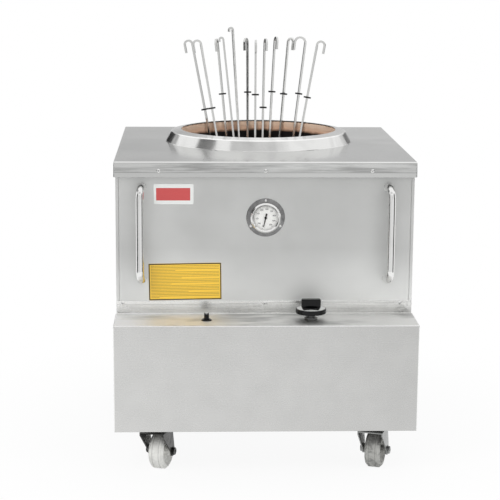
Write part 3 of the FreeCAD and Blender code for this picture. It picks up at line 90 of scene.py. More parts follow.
def srgb(red, green, blue):
    """A colour written as 0-255 screen values, as the linear values a shader takes."""
    def linear(c):
        c /= 255
        return c / 12.92 if c <= 0.04045 else ((c + 0.055) / 1.055) ** 2.4
    return (linear(red), linear(green), linear(blue), 1.0)


def add_camera():
    """A long lens from the front left, a little above the mouth."""
    yaw, pitch, roll = 0.03937, 0.193, 0.006666
    ahead = Vector((math.sin(yaw) * math.cos(pitch), math.cos(yaw) * math.cos(pitch), -math.sin(pitch)))
    level = Vector((math.cos(yaw), -math.sin(yaw), 0))
    upright = level.cross(ahead)
    right = level * math.cos(roll) + upright * math.sin(roll)
    up = upright * math.cos(roll) - level * math.sin(roll)
    data = bpy.data.cameras.new("camera")
    data.lens = 113.4
    data.sensor_width = 36
    data.clip_end = 50
    camera = linked("camera", data)
    turned = Matrix((right, up, -ahead)).transposed().to_4x4()
    camera.matrix_world = Matrix.Translation((-0.2055, -4.522, 1.414)) @ turned
    bpy.context.scene.camera = camera


def seen_directly(tree):
    """1 for rays from the camera, a mirror or glass, and 0 for the light that falls on the object."""
    path = tree.nodes.new("ShaderNodeLightPath")
    first = tree.nodes.new("ShaderNodeMath")
    first.operation = "MAXIMUM"
    tree.links.new(path.outputs["Is Camera Ray"], first.inputs[0])
    tree.links.new(path.outputs["Is Glossy Ray"], first.inputs[1])
    second = tree.nodes.new("ShaderNodeMath")
    second.operation = "MAXIMUM"
    tree.links.new(first.outputs[0], second.inputs[0])
    tree.links.new(path.outputs["Is Transmission Ray"], second.inputs[1])
    return second.outputs[0]


def light_world():
    world = bpy.data.worlds.new("studio")
    bpy.context.scene.world = world
    world.use_nodes = True
    tree = world.node_tree
    around = tree.nodes["Background"]
    around.inputs["Color"].default_value = (1, 1, 1, 1)
    around.inputs["Strength"].default_value = 0.68
    behind = tree.nodes.new("ShaderNodeBackground")
    behind.inputs["Color"].default_value = (1, 1, 1, 1)
    behind.inputs["Strength"].default_value = 1.0
    choose = tree.nodes.new("ShaderNodeMixShader")
    tree.links.new(seen_directly(tree), choose.inputs[0])
    tree.links.new(around.outputs[0], choose.inputs[1])
    tree.links.new(behind.outputs[0], choose.inputs[2])
    tree.links.new(choose.outputs[0], tree.nodes["World Output"].inputs["Surface"])


def set_up(thing, at, aim):
    """Puts a lamp or card at a place and turns it towards another."""
    thing.location = at
    thing.rotation_mode = "QUATERNION"
    thing.rotation_quaternion = (Vector(aim) - Vector(at)).to_track_quat("-Z", "Y")


def add_lamp(name, at, aim, size, power):
    """A disc lamp that doesn't show in polished metal."""
    data = bpy.data.lights.new(name, "AREA")
    data.shape = "DISK"
    data.size = size
    data.energy = power
    lamp = linked(name, data)
    set_up(lamp, at, aim)
    lamp.visible_glossy = False


def add_floor():
    """A pale floor that the camera and the mirrors see as white, with the object's shadow kept near it."""
    reach, count = 7, 96
    kept_until, white_from, near_share, far_share = 0.45, 1.2, 0.92, 1.0
    ring = [Vector((reach * math.cos(TURN * i / count), reach * math.sin(TURN * i / count), 0))
            for i in range(count)]
    mesh = bpy.data.meshes.new("floor")
    mesh.from_pydata(ring, [], [list(range(count))])
    floor = linked("floor", mesh)
    material = bpy.data.materials.new("floor")
    material.use_nodes = True
    tree = material.node_tree
    matt = tree.nodes["Principled BSDF"]
    matt.inputs["Base Color"].default_value = (0.86, 0.86, 0.86, 1)
    matt.inputs["Roughness"].default_value = 0.9
    matt.inputs["Specular IOR Level"].default_value = 0.0
    white = tree.nodes.new("ShaderNodeEmission")
    where = tree.nodes.new("ShaderNodeTexCoord")
    distance = tree.nodes.new("ShaderNodeVectorMath")
    distance.operation = "LENGTH"
    tree.links.new(where.outputs["Object"], distance.inputs[0])
    fade = tree.nodes.new("ShaderNodeMapRange")
    fade.interpolation_type = "SMOOTHSTEP"
    for socket, number in zip(fade.inputs[1:], (kept_until, white_from, near_share, far_share)):
        socket.default_value = number
    tree.links.new(distance.outputs["Value"], fade.inputs[0])
    share = tree.nodes.new("ShaderNodeMath")
    share.operation = "MULTIPLY"
    tree.links.new(fade.outputs[0], share.inputs[0])
    tree.links.new(seen_directly(tree), share.inputs[1])
    choose = tree.nodes.new("ShaderNodeMixShader")
    tree.links.new(share.outputs[0], choose.inputs[0])
    tree.links.new(matt.outputs[0], choose.inputs[1])
    tree.links.new(white.outputs[0], choose.inputs[2])
    tree.links.new(choose.outputs[0], tree.nodes["Material Output"].inputs["Surface"])
    mesh.materials.append(material)


def add_card(name, at, aim, width, height, left, right):
    """A studio card that only polished metal sees, shaded from its left end to its right end."""
    mesh = bpy.data.meshes.new(name)
    w, h = width / 2, height / 2
    mesh.from_pydata([(-w, -h, 0), (w, -h, 0), (w, h, 0), (-w, h, 0)], [], [(0, 1, 2, 3)])
    card = linked(name, mesh)
    set_up(card, at, aim)
    finish = Finish(name)
    shade = finish.between(finish.split(finish.place)[0], -w, w, left, right)
    cloud = finish.noise(finish.place, 0.7, 3.0, 0.5, 0.4)
    shade = finish.times(shade, finish.between(cloud, 0.3, 0.7, 0.86, 1.12))
    grey = finish.node("Emission")
    finish.put(grey.inputs["Color"], finish.join(shade, shade, shade))
    finish.put(finish.tree.nodes["Material Output"].inputs["Surface"], grey.outputs[0])
    mesh.materials.append(finish.material)
    card.visible_camera = False
    card.visible_diffuse = False
    card.visible_transmission = False
    card.visible_volume_scatter = False
    card.visible_shadow = False


# ---------------------------------------------------------------- node materials

class Finish:
    """A node material under construction. Values may be numbers, colours or sockets.

    place is the point in the object's own frame, for a piece of the oven that of the oven at rest, and
    facing is the surface's normal there.
    """

    def __init__(self, name):
        self.material = bpy.data.materials.new(name)
        self.material.use_nodes = True
        self.tree = self.material.node_tree
        self.shader = self.tree.nodes["Principled BSDF"]
        where = self.tree.nodes.new("ShaderNodeTexCoord")
        self.place = where.outputs["Object"]
        self.facing = where.outputs["Normal"]

    def put(self, socket, value):
        if isinstance(value, bpy.types.NodeSocket):
            self.tree.links.new(value, socket)
        else:
            socket.default_value = value

    def node(self, kind, **settings):
        made = self.tree.nodes.new("ShaderNode" + kind)
        for key, value in settings.items():
            setattr(made, key, value)
        return made

    def math(self, operation, a, b=0.0, clamp=False):
        made = self.node("Math", operation=operation, use_clamp=clamp)
        self.put(made.inputs[0], a)
        self.put(made.inputs[1], b)
        return made.outputs[0]

    def between(self, value, low, high, to_low=0.0, to_high=1.0):
        made = self.node("MapRange", clamp=True)
        for socket, number in zip(made.inputs, (value, low, high, to_low, to_high)):
            self.put(socket, number)
        return made.outputs[0]

    def split(self, vector):
        made = self.node("SeparateXYZ")
        self.put(made.inputs[0], vector)
        return made.outputs

    def join(self, x, y, z=0.0):
        made = self.node("CombineXYZ")
        for socket, value in zip(made.inputs, (x, y, z)):
            self.put(socket, value)
        return made.outputs[0]

    def noise(self, vector, scale, detail=3.0, rough=0.5, bend=0.0):
        made = self.node("TexNoise")
        self.put(made.inputs["Vector"], vector)
        made.inputs["Scale"].default_value = scale
        made.inputs["Detail"].default_value = detail
        made.inputs["Roughness"].default_value = rough
        made.inputs["Distortion"].default_value = bend
        return made.outputs["Fac"]

    def cells(self, vector, scale):
        made = self.node("TexVoronoi", feature="F1")
        self.put(made.inputs["Vector"], vector)
        made.inputs["Scale"].default_value = scale
        return made.outputs["Distance"]

    def mix(self, factor, a, b):
        made = self.node("Mix", data_type="RGBA", blend_type="MIX")
        self.put(made.inputs[0], factor)
        self.put(made.inputs[6], a)
        self.put(made.inputs[7], b)
        return made.outputs[2]

    def scaled(self, colour, factor):
        made = self.node("VectorMath", operation="SCALE")
        self.put(made.inputs[0], colour[:3] if isinstance(colour, tuple) else colour)
        self.put(made.inputs["Scale"], factor)
        return made.outputs[0]

    def bump(self, height, distance, normal=None, strength=1.0):
        made = self.node("Bump")
        made.inputs["Strength"].default_value = strength
        made.inputs["Distance"].default_value = distance
        self.put(made.inputs["Height"], height)
        if normal is not None:
            self.put(made.inputs["Normal"], normal)
        return made.outputs[0]

    def rounded(self, radius):
        made = self.node("Bevel", samples=4)
        made.inputs["Radius"].default_value = radius
        return made.outputs[0]

    def plus(self, a, b):
        return self.math("ADD", a, b)

    def minus(self, a, b):
        return self.math("SUBTRACT", a, b)

    def times(self, a, b):
        return self.math("MULTIPLY", a, b)

    def done(self, **values):
        for key, value in values.items():
            self.put(self.shader.inputs[key.replace("_", " ")], value)
        return self.material


def around_mouth(f, x, y):
    """Distance from the mouth's axis."""
    dx = f.minus(x, MOUTH_AXIS[0])
    dy = f.minus(y, MOUTH_AXIS[1])
    return f.math("SQRT", f.plus(f.times(dx, dx), f.times(dy, dy)))


def brushed(f, run, fine, detail, polar=False):
    """Streaks along the brushing: level on upright sheets, along X on flat ones, round the mouth if polar."""
    x, y, z = f.split(f.place)
    if polar:
        across = f.times(f.plus(around_mouth(f, x, y), z), fine)
        return f.noise(f.join(f.times(x, run), f.times(y, run), across), 1.0, detail, 0.6)
    flat = f.math("ABSOLUTE", f.split(f.facing)[2])
    along = f.plus(x, f.times(y, f.minus(1.0, flat)))
    across = f.plus(z, f.times(y, flat))
    return f.noise(f.join(f.times(along, run), f.times(across, fine)), 1.0, detail, 0.6)


def patch(f, value, middle, half, soft):
    """1 within half of a middle value, falling to 0 over a soft edge."""
    away = f.math("ABSOLUTE", f.minus(value, middle))
    return f.between(away, half, half + soft, 1.0, 0.0)


def steel(name, tone, rough, grain, cloud, wave, edge=0.0007, polar=False,
          marks=None, dents=None, dull=None):
    """Brushed stainless sheet: fine streaks, clouded smudges, gentle waves in the sheet, soft folds with a
    painted highlight.

    marks gives a factor for the colour by place, which also carries painted light and shade, dents a height,
    and dull what is added to the roughness.
    """
    f = Finish(name)
    fine = brushed(f, 7.0, 700.0, 4.0, polar)
    broad = brushed(f, 1.6, 46.0, 3.0, polar)
    smudge = f.noise(f.place, 3.2, 4.0, 0.55, 0.6)
    touch = f.noise(f.place, 21.0, 3.0, 0.6)
    streak = f.plus(f.times(fine, 0.6), f.times(broad, 0.4))
    shade = f.plus(1.0 - grain - cloud, f.times(streak, 2 * grain))
    shade = f.plus(shade, f.times(smudge, 2 * cloud))
    if marks:
        shade = f.times(shade, marks(f))
    roughness = f.plus(rough - 0.10, f.times(fine, 0.10))
    roughness = f.plus(roughness, f.times(touch, 0.10))
    if dull:
        roughness = f.plus(roughness, dull(f))
    form = f.bump(f.noise(f.place, 2.3, 2.0, 0.4), wave, f.rounded(edge))
    if dents:
        form = f.bump(dents(f), 0.004, form)
    scratch = f.bump(fine, 0.00006, form, 0.35)
    colour = f.scaled(tone, shade)
    if not polar:
        turned = f.split(f.facing)
        slant = (0.58, 0.34, 0.06)      # a fold's normal lies between those of the sheets that it joins
        fold_highlight = f.math("MAXIMUM", patch(f, turned[2], *slant), patch(f, f.math("ABSOLUTE", turned[0]), *slant))
        # painted highlight: folds are made near white, as if they mirrored the bright sky
        colour = f.mix(fold_highlight, colour, (0.95, 0.95, 0.94, 1))
        roughness = f.times(roughness, f.between(fold_highlight, 0.0, 1.0, 1.0, 0.7))
    return f.done(Base_Color=colour, Metallic=1.0, Roughness=roughness, Normal=scratch)


def cover_smear_and_painted_shade(f):
    """Painted shade in streaks on the cover's flange down to the crease over its hem, a painted dark line in
    that crease and painted shade on the hem below it, and a broad smear on the top.
    """
    z = f.split(f.place)[2]
    smear = f.noise(f.place, 2.6, 2.0, 0.4, 0.6)
    on_top = f.between(z, COVER_EDGE - 0.002, COVER_EDGE + 0.002)
    flange_shade_streaks = brushed(f, 5.0, 60.0, 4.0)
    # painted shade: the flange from the cover's edge down to the crease is darkened in streaks
    skirt = f.times(f.between(z, COVER_EDGE - 0.001, COVER_EDGE + 0.0005, 1.0, 0.0),
                    f.between(z, HEM_LINE, HEM_LINE + 0.001))
    shade = f.minus(1.0, f.times(on_top, f.between(smear, 0.4, 0.6, 0.0, 0.22)))
    shade = f.minus(shade, f.times(skirt, f.between(flange_shade_streaks, 0.38, 0.62, 0.44, 0.06)))
    # painted shade: a dark line in the crease over the hem
    shade = f.minus(shade, f.times(patch(f, z, HEM_LINE, 0.0004, 0.0007), 0.38))
    # painted shade: the hem band below the crease is made darker
    hem = f.times(f.between(z, HEM_LINE - 0.0004, HEM_LINE, 1.0, 0.0), 0.12)
    return f.minus(shade, hem)


def collar_highlight_and_patches(f):
    """A painted highlight along the collar's shoulder, and darker patches at random."""
    z = f.split(f.place)[2]
    shoulder = 0.8665
    tint = f.between(f.noise(f.place, 8.0, 3.0, 0.5, 0.6), 0.48, 0.7, 1.0, 0.82)
    # painted highlight: a bright band along the shoulder's bend
    return f.plus(tint, f.times(patch(f, z, shoulder, 0.0008, 0.0012), 0.22))


def panel_clouds_and_reflection(f):
    """Broad clouds, and a painted reflection of the ledge: a lighter band along the front panel's foot."""
    place = f.split(f.place)
    in_front = f.between(place[1], -0.33, -0.325, 1.0, 0.0)
    # painted reflection: the front panel is made lighter towards its foot, as if it mirrored the ledge
    ledge_reflection = f.times(f.between(place[2], 0.455, 0.6, 0.38, 0.0), in_front)
    blot = f.between(f.noise(f.place, 5.0, 2.0, 0.4, 0.3), 0.35, 0.65, 0.93, 1.04)
    return f.times(f.plus(ledge_reflection, 1.0), blot)


def on_strip(f):
    """1 on the upstand strip behind the ledge."""
    place = f.split(f.place)
    behind = f.between(place[1], STRIP_FOLD - 0.0005, STRIP_FOLD + 0.0005)
    return f.times(behind, f.between(place[2], LEDGE_TOP + 0.003, LEDGE_TOP + 0.005))


def on_ledge(f):
    """1 on the housing's ledge."""
    place = f.split(f.place)
    before = f.between(place[1], STRIP_FOLD + 0.0005, STRIP_FOLD - 0.0005)
    return f.times(before, f.between(place[2], LEDGE_TOP - 0.0005, LEDGE_TOP + 0.0005))


def housing_marks_and_painted_light(f):
    """Faint blotches with a painted falloff of light to the right, painted reflections on the ledge, painted
    highlights at the strip's foot and on the strip, and the strip's turned edge with a painted dark crease
    and painted shade in streaks below it.
    """
    x, y, z = f.split(f.place)
    blot = f.between(f.noise(f.place, 13.0, 3.0, 0.5, 0.3), 0.35, 0.65, 0.98, 1.02)
    # painted falloff of light: the housing is made darker towards the right
    blot = f.times(blot, f.between(x, -0.4, 0.4, 1.03, 0.9))
    hem = f.between(x, -0.12, 0.10, 0.0095, 0.004)
    wander = f.times(f.minus(f.noise(f.place, 7.0, 2.0), 0.5), 0.004)
    drop = f.minus(f.minus(STRIP_TOP, f.plus(hem, wander)), z)
    # painted shade: a dark line in the crease under the strip's turned edge
    crease = f.times(patch(f, drop, 0.0, 0.0003, 0.0012), 0.45)
    streak = f.noise(f.join(f.times(x, 10.0), 0.0, f.times(z, 170.0)), 1.0, 4.0, 0.6, 0.4)
    # painted shade in streaks below the turned edge
    shade_streaks = f.times(f.between(drop, 0.0, 0.002), f.between(streak, 0.36, 0.66, 0.2, -0.04))
    strip = on_strip(f)
    dark = f.times(f.math("ADD", crease, shade_streaks, clamp=True), strip)
    # painted highlight along the foot of the strip where it meets the ledge
    foot = f.times(patch(f, z, LEDGE_TOP + 0.0018, 0.0009, 0.0008), f.between(y, -0.3425, -0.341))
    # painted reflections on the ledge: lighter at the back and the sides, less in the middle
    ledge_sheen = f.noise(f.join(f.times(x, 6.5), f.times(y, 17.0)), 1.0, 3.0, 0.5, 0.5)
    ledge_sheen = f.minus(ledge_sheen, f.between(f.math("ABSOLUTE", x), 0.1, 0.24, 0.0, 0.14))
    light = f.times(on_ledge(f), f.between(ledge_sheen, 0.38, 0.6, 0.6, 0.04))
    light = f.math("MAXIMUM", light, f.times(foot, 0.6))
    # painted highlight on the strip, lighter towards its top
    light = f.math("MAXIMUM", light, f.times(strip, f.between(z, 0.428, 0.446, 0.24, 0.56)))
    return f.times(blot, f.plus(f.minus(1.05, dark), light))


def ledge_dull(f):
    """The ledge is scoured, so it mirrors less than the rest of the housing."""
    return f.times(on_ledge(f), 0.36)


def strip_dents(f):
    """Dents where the rivets pulled the strip in."""
    x = f.split(f.place)[0]
    near = 0.0
    for middle in STRIP_RIVETS:
        near = f.plus(near, patch(f, x, middle * MM, 0.01, 0.04))
    knock = f.noise(f.place, 46.0, 2.0, 0.5)
    return f.times(f.times(near, knock), on_strip(f))


def polished(name, tone, rough, pit=0.0, edge=0.0005, dust=0.08, size=11.0):
    """Polished or plated metal with light handling marks."""
    f = Finish(name)
    marks = f.noise(f.place, 60.0, 4.0, 0.65)
    rub = f.noise(f.place, size, 3.0, 0.5, 0.5)
    shade = f.plus(1.0 - dust, f.times(rub, 2 * dust))
    roughness = f.between(marks, 0.3, 0.75, rough * 0.6, rough * 1.5)
    normal = f.bump(f.noise(f.place, 260.0, 3.0), pit, f.rounded(edge)) if pit else f.rounded(edge)
    return f.done(Base_Color=f.scaled(tone, shade), Metallic=1.0, Roughness=roughness, Normal=normal)


def valve_metal():
    """A brass valve body, made dark above the ledge."""
    f = Finish("valve_metal")
    rub = f.noise(f.place, 24.0, 3.0, 0.5, 0.5)
    shade = f.between(rub, 0.3, 0.7, 0.85, 1.1)
    above = f.between(f.split(f.place)[2], LEDGE_TOP - 0.001, LEDGE_TOP + 0.0005)
    colour = f.mix(above, f.scaled(BRASS, shade), f.scaled((0.12, 0.12, 0.12, 1), shade))
    return f.done(Base_Color=colour, Metallic=1.0, Roughness=f.between(rub, 0.3, 0.7, 0.2, 0.36),
                  Normal=f.rounded(0.0005))


def spangled(name, tone):
    """Galvanised sheet with zinc spangles."""
    f = Finish(name)
    spangle = f.cells(f.place, 90.0)
    blotch = f.noise(f.place, 24.0, 3.0)
    shade = f.plus(0.72, f.times(spangle, 0.35))
    shade = f.plus(shade, f.times(blotch, 0.16))
    roughness = f.between(spangle, 0.0, 0.8, 0.34, 0.56)
    return f.done(Base_Color=f.scaled(tone, shade), Metallic=0.9, Roughness=roughness,
                  Normal=f.bump(spangle, 0.00005, f.rounded(0.0005)))


def moulded(name, tone, rough, wear=0.15, pit=0.00004, shine=0.5):
    """Paint or moulded plastic with fine texture and slight uneven gloss."""
    f = Finish(name)
    spots = f.noise(f.place, 420.0, 3.0, 0.6)
    uneven = f.noise(f.place, 17.0, 4.0, 0.6, 0.4)
    shade = f.plus(1.0 - wear, f.times(uneven, 2 * wear))
    roughness = f.between(uneven, 0.25, 0.8, rough * 0.75, min(1.0, rough * 1.3))
    f.shader.inputs["Specular IOR Level"].default_value = shine
    return f.done(Base_Color=f.scaled(tone, shade), Roughness=roughness,
                  Normal=f.bump(spots, pit, f.rounded(0.0006)))


def clay():
    """Fired clay, painted light to dark down the neck: pale at the lip and darker tan below, then black with
    soot and painted shade further down, with coil lines and grit.
    """
    f = Finish("fired_clay")
    tan_above, tan_below = 0.862, 0.840
    bare_above, soot_and_shade_below = 0.846, 0.838
    x, y, z = f.split(f.place)
    ragged = f.noise(f.place, 34.0, 4.0, 0.6)
    patches = f.noise(f.place, 12.0, 5.0, 0.6, 0.5)
    grit = f.noise(f.place, 900.0, 2.0, 0.7)
    coils = f.noise(f.join(f.times(x, 3.0), f.times(y, 3.0),
                           f.times(z, 120.0)), 1.0, 2.0)
    bare = f.mix(f.between(patches, 0.3, 0.72), srgb(255, 228, 204), srgb(240, 202, 174))
    bare = f.mix(f.between(grit, 0.42, 0.7, 0.0, 0.2), bare, srgb(198, 154, 126))
    height = f.plus(z, f.times(f.minus(ragged, 0.5), 0.012))
    # painted shade: the tan darkens down the neck, away from the light
    bare = f.mix(f.between(height, tan_above, tan_below), bare, srgb(232, 184, 152))
    # soot and painted shade: below the neck the belly lies in shade and is made near black
    soot = f.mix(f.between(patches, 0.35, 0.8, 0.0, 0.5), srgb(13, 11, 10), srgb(40, 31, 26))
    colour = f.mix(f.between(height, bare_above, soot_and_shade_below), bare, soot)
    rough_form = f.bump(coils, 0.0016, f.rounded(0.002))
    return f.done(Base_Color=colour, Roughness=f.between(grit, 0.3, 0.7, 0.82, 0.97),
                  Normal=f.bump(f.plus(grit, f.times(ragged, 2.0)), 0.0006, rough_form))


def wool():
    """Mineral wool, with its strands lying level."""
    f = Finish("mineral_wool")
    squeezed = f.join(*[f.times(s, k) for s, k in zip(f.split(f.place), (160, 160, 420))])
    strands = f.noise(squeezed, 1.0, 5.0, 0.7, 1.5)
    colour = f.mix(strands, srgb(126, 116, 84), srgb(196, 186, 146))
    return f.done(Base_Color=colour, Roughness=0.96, Normal=f.bump(strands, 0.003))


def heated(name, tone, rust, thread_from=None):
    """Iron or steel that a flame has darkened: scale, brown bloom and soot, and a pipe thread beyond a y,
    with painted shade in its grooves.
    """
    f = Finish(name)
    scale = f.noise(f.place, 75.0, 6.0, 0.65, 0.6)
    bloom = f.noise(f.place, 14.0, 3.0, 0.5)
    colour = f.mix(f.between(bloom, 0.35, 0.7), tone, rust)
    colour = f.mix(f.between(scale, 0.5, 0.75, 0.0, 0.7), colour, srgb(24, 21, 20))
    form = f.bump(scale, 0.0003, f.rounded(0.0006))
    if thread_from:
        y = f.split(f.place)[1]
        pitch = 0.0018
        ridge = f.math("SINE", f.times(y, TURN / pitch))
        ridge = f.times(ridge, f.between(y, thread_from, thread_from + 0.001))
        form = f.bump(ridge, 0.0006, form)
        # painted shade in the thread's grooves
        colour = f.scaled(colour, f.between(ridge, -1.0, 0.0, 0.45, 1.0))
    roughness = f.between(scale, 0.3, 0.7, 0.42, 0.78)
    return f.done(Base_Color=colour, Metallic=0.75, Roughness=roughness, Normal=form)


def tyre(name, tone, centre, axis, mottle):
    """Grey caster rubber, scuffed and dusty from rolling, with a mould line on each side of the tread. Its
    tone and mottle also carry painted light and shade, set per caster.
    """
    f = Finish(name)
    out = f.node("VectorMath", operation="SUBTRACT")
    f.put(out.inputs[0], f.place)
    f.put(out.inputs[1], tuple(centre))
    side = f.node("VectorMath", operation="DOT_PRODUCT")
    f.put(side.inputs[0], out.outputs[0])
    f.put(side.inputs[1], tuple(axis))
    mould_line = 0.009
    line = patch(f, f.math("ABSOLUTE", side.outputs["Value"]), mould_line, 0.0003, 0.0008)
    scuff = f.noise(f.place, 55.0, 5.0, 0.7, 0.8)
    dust = f.noise(f.place, 19.0, 3.0)
    colour = f.scaled(tone, f.plus(0.74, f.times(dust, 0.5)))
    colour = f.mix(f.between(scuff, 0.48, 0.62, 0.0, mottle), colour, f.scaled(tone, 0.42))
    colour = f.scaled(colour, f.minus(1.0, f.times(line, 0.45)))
    return f.done(Base_Color=colour, Roughness=f.between(scuff, 0.3, 0.7, 0.5, 0.8),
                  Normal=f.bump(scuff, 0.0005, f.rounded(0.001)))


def sheet_print(name, tone, rough=0.32):
    """A printed label face under a thin clear coat."""
    f = Finish(name)
    fade = f.noise(f.place, 7.0, 3.0)
    fleck = f.noise(f.place, 500.0, 2.0)
    shade = f.plus(0.93, f.times(fade, 0.12))
    f.shader.inputs["Coat Weight"].default_value = 0.3
    f.shader.inputs["Coat Roughness"].default_value = 0.12
    roughness = f.between(fleck, 0.3, 0.7, rough * 0.85, rough * 1.2)
    return f.done(Base_Color=f.scaled(tone, shade), Roughness=roughness,
                  Normal=f.bump(fleck, 0.00001, f.rounded(0.0004)))


def glass():
    """The thermometer's glass: nearly clear, with a dark tint and smears in its gloss."""
    f = Finish("gauge_glass")
    smear = f.noise(f.place, 70.0, 4.0, 0.6, 0.5)
    f.shader.inputs["IOR"].default_value = 1.46
    f.shader.inputs["Alpha"].default_value = 0.04
    return f.done(Base_Color=(0.02, 0.02, 0.02, 1), Roughness=f.between(smear, 0.4, 0.8, 0.02, 0.08))


def finishes():
    """The finishes by name: those of the record's material slots, and a few for single nodes or pieces."""
    return {
        "top_steel": steel("top_steel", (0.72, 0.725, 0.715, 1), 0.13, 0.03, 0.04, 0.0016, marks=cover_smear_and_painted_shade),
        "collar_steel": steel("collar_steel", (0.8, 0.8, 0.79, 1), 0.14, 0.03, 0.03, 0.001, 0.0012,
                              polar=True, marks=collar_highlight_and_patches),
        "panel_steel": steel("panel_steel", (0.69, 0.695, 0.685, 1), 0.58, 0.02, 0.03, 0.0008,
                             marks=panel_clouds_and_reflection),
        "housing_steel": steel("housing_steel", (0.6, 0.6, 0.59, 1), 0.27, 0.03, 0.03, 0.0006, 0.0016,
                               marks=housing_marks_and_painted_light, dents=strip_dents, dull=ledge_dull),
        "painted_frame": moulded("painted_frame", srgb(74, 76, 78), 0.42, 0.12),
        "galvanised_sheet": spangled("galvanised_sheet", (0.56, 0.57, 0.58, 1)),
        "fired_clay": clay(),
        "mineral_wool": wool(),
        "cast_burner": heated("cast_burner", srgb(62, 56, 52), srgb(96, 62, 42)),
        "heat_darkened_steel": heated("heat_darkened_steel", srgb(112, 100, 90), srgb(104, 72, 54)),
        "gas_pipe": heated("gas_pipe", srgb(108, 108, 110), srgb(92, 90, 88), thread_from=0.4515),
        "electrode_lead": moulded("electrode_lead", srgb(214, 208, 196), 0.3, 0.08),
        "zinc_hardware": polished("zinc_hardware", (0.93, 0.93, 0.92, 1), 0.3, 0.00002, dust=0.04),
        "black_knob": moulded("black_knob", srgb(10, 10, 11), 0.07, 0.2, 0.000005, 0.25),
        "polished_trim": polished("polished_trim", (0.84, 0.84, 0.83, 1), 0.08),
        "dial_face": sheet_print("dial_face", srgb(254, 254, 251), 0.4),
        "gauge_glass": glass(),
        "needle_black": moulded("needle_black", srgb(12, 12, 13), 0.35, 0.1),
        "name_plate_red": sheet_print("name_plate_red", srgb(198, 74, 74)),
        "plate_white": sheet_print("plate_white", srgb(228, 230, 228)),
        "notice_yellow": sheet_print("notice_yellow", srgb(250, 205, 62)),
        "print_black": sheet_print("print_black", srgb(26, 24, 20)),
        "print_ink": sheet_print("print_ink", srgb(112, 86, 26)),
        "dial_ink": sheet_print("dial_ink", srgb(128, 128, 128)),
        "caster_zinc": polished("caster_zinc", (0.27, 0.275, 0.27, 1), 0.24, 0.00003, dust=0.25),
        # a painted shaded copy of the caster plating
        "caster_dark": polished("caster_dark", (0.06, 0.06, 0.058, 1), 0.3, 0.00003, dust=0.25),
        "skewer_steel": polished("skewer_steel", (0.72, 0.72, 0.71, 1), 0.16, 0.00002, edge=0.0012),
        "stop_black": polished("stop_black", (0.05, 0.05, 0.05, 1), 0.35),
        "gauge_flange": polished("gauge_flange", (0.24, 0.24, 0.24, 1), 0.2, dust=0.75, size=38.0),
        "valve_metal": valve_metal(),
        "dark_polish": polished("dark_polish", (0.2, 0.2, 0.2, 1), 0.14, dust=0.4),
    }


# ---------------------------------------------------------------- shapes

class Shape:
    """Vertices and faces gathered for one piece."""

    def __init__(self):
        self.points = []
        self.faces = []

    def loft(self, rings, closed=False):
        """Joins rings of equally many points. A closed loft ends where it starts; an open one is capped."""
        first = len(self.points)
        count = len(rings[0])
        for ring in rings:
            self.points.extend(ring)
        last = len(rings) if closed else len(rings) - 1
        for i in range(last):
            here = first + i * count
            there = first + ((i + 1) % len(rings)) * count
            for k in range(count):
                n = (k + 1) % count
                self.faces.append((here + k, here + n, there + n, there + k))
        if not closed:
            self.faces.append(tuple(first + k for k in reversed(range(count))))
            self.faces.append(tuple(first + (len(rings) - 1) * count + k for k in range(count)))
        return self

    def around(self, centre, axis, profile, count, closed=False):
        """Turns a profile of (radius, height) about an axis. A radius may be a function of the angle."""
        u, v, w = basis(axis)
        rings = []
        for radius, height in profile:
            ring = []
            for k in range(count):
                angle = TURN * k / count
                r = radius(angle) if callable(radius) else radius
                point = Vector(centre) + u * (r * math.cos(angle)) + v * (r * math.sin(angle))
                ring.append(point + w * height)
            rings.append(ring)
        return self.loft(rings, closed)

    def tube(self, path, radius, count, closed=False):
        """A round bar along a path. The radius may be a list, one for each point."""
        size = len(path)
        side = None
        rings = []
        for i, point in enumerate(path):
            ahead = path[(i + 1) % size] if closed or i + 1 < size else point
            back = path[i - 1] if closed or i else point
            run = (Vector(ahead) - Vector(back)).normalized()
            if side is None:
                side = basis(run)[0]
            side = (side - run * side.dot(run)).normalized()
            other = run.cross(side)
            r = radius[i] if isinstance(radius, list) else radius
            rings.append([Vector(point) + side * (r * math.cos(TURN * k / count))
                          + other * (r * math.sin(TURN * k / count)) for k in range(count)])
        return self.loft(rings, closed)

    def slab(self, outline, place, thick):
        """A flat plate from a 2-D outline, put in place by a matrix."""
        return self.loft([[place @ Vector((x, y, level)) for x, y in outline] for level in (0, thick)])

    def mesh(self, source, place):
        """Takes over another mesh, put in place by a matrix."""
        first = len(self.points)
        self.points.extend(place @ v.co for v in source.vertices)
        self.faces.extend(tuple(first + i for i in p.vertices) for p in source.polygons)
        return self

    def piece(self, name, material, body, slot, smooth=True):
        """Ends the shape as a piece of the scene that rides on a body."""
        mesh = bpy.data.meshes.new(name)
        mesh.from_pydata(self.points, [], self.faces)
        mesh.update()
        for face in mesh.polygons:
            face.use_smooth = smooth
        if smooth:
            mesh.set_sharp_from_angle(angle=math.radians(35))
        mesh.materials.append(material)
        made = linked(name, mesh)
        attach(made, body)


def basis(axis):
    """Two directions across an axis, and the axis."""
    w = Vector(axis).normalized()
    u = w.cross(Vector((0, 0, 1)) if abs(w.z) < 0.9 else Vector((1, 0, 0))).normalized()
    return u, w.cross(u), w


def rounded_box(width, height, radius, steps=6):
    """The outline of a plate with rounded corners, about its own middle."""
    points = []
    for corner, (sx, sy) in enumerate(((1, 1), (-1, 1), (-1, -1), (1, -1))):
        for i in range(steps + 1):
            angle = TURN * (corner / 4 + i / steps / 4)
            points.append((sx * (width / 2 - radius) + radius * math.cos(angle),
                           sy * (height / 2 - radius) + radius * math.sin(angle)))
    return points


def hexagon(across):
    """The radius of a hexagon at an angle, for a width across its flats."""
    def radius(angle):
        part = (angle % (TURN / 6)) - TURN / 12
        return across / 2 / math.cos(part)
    return radius


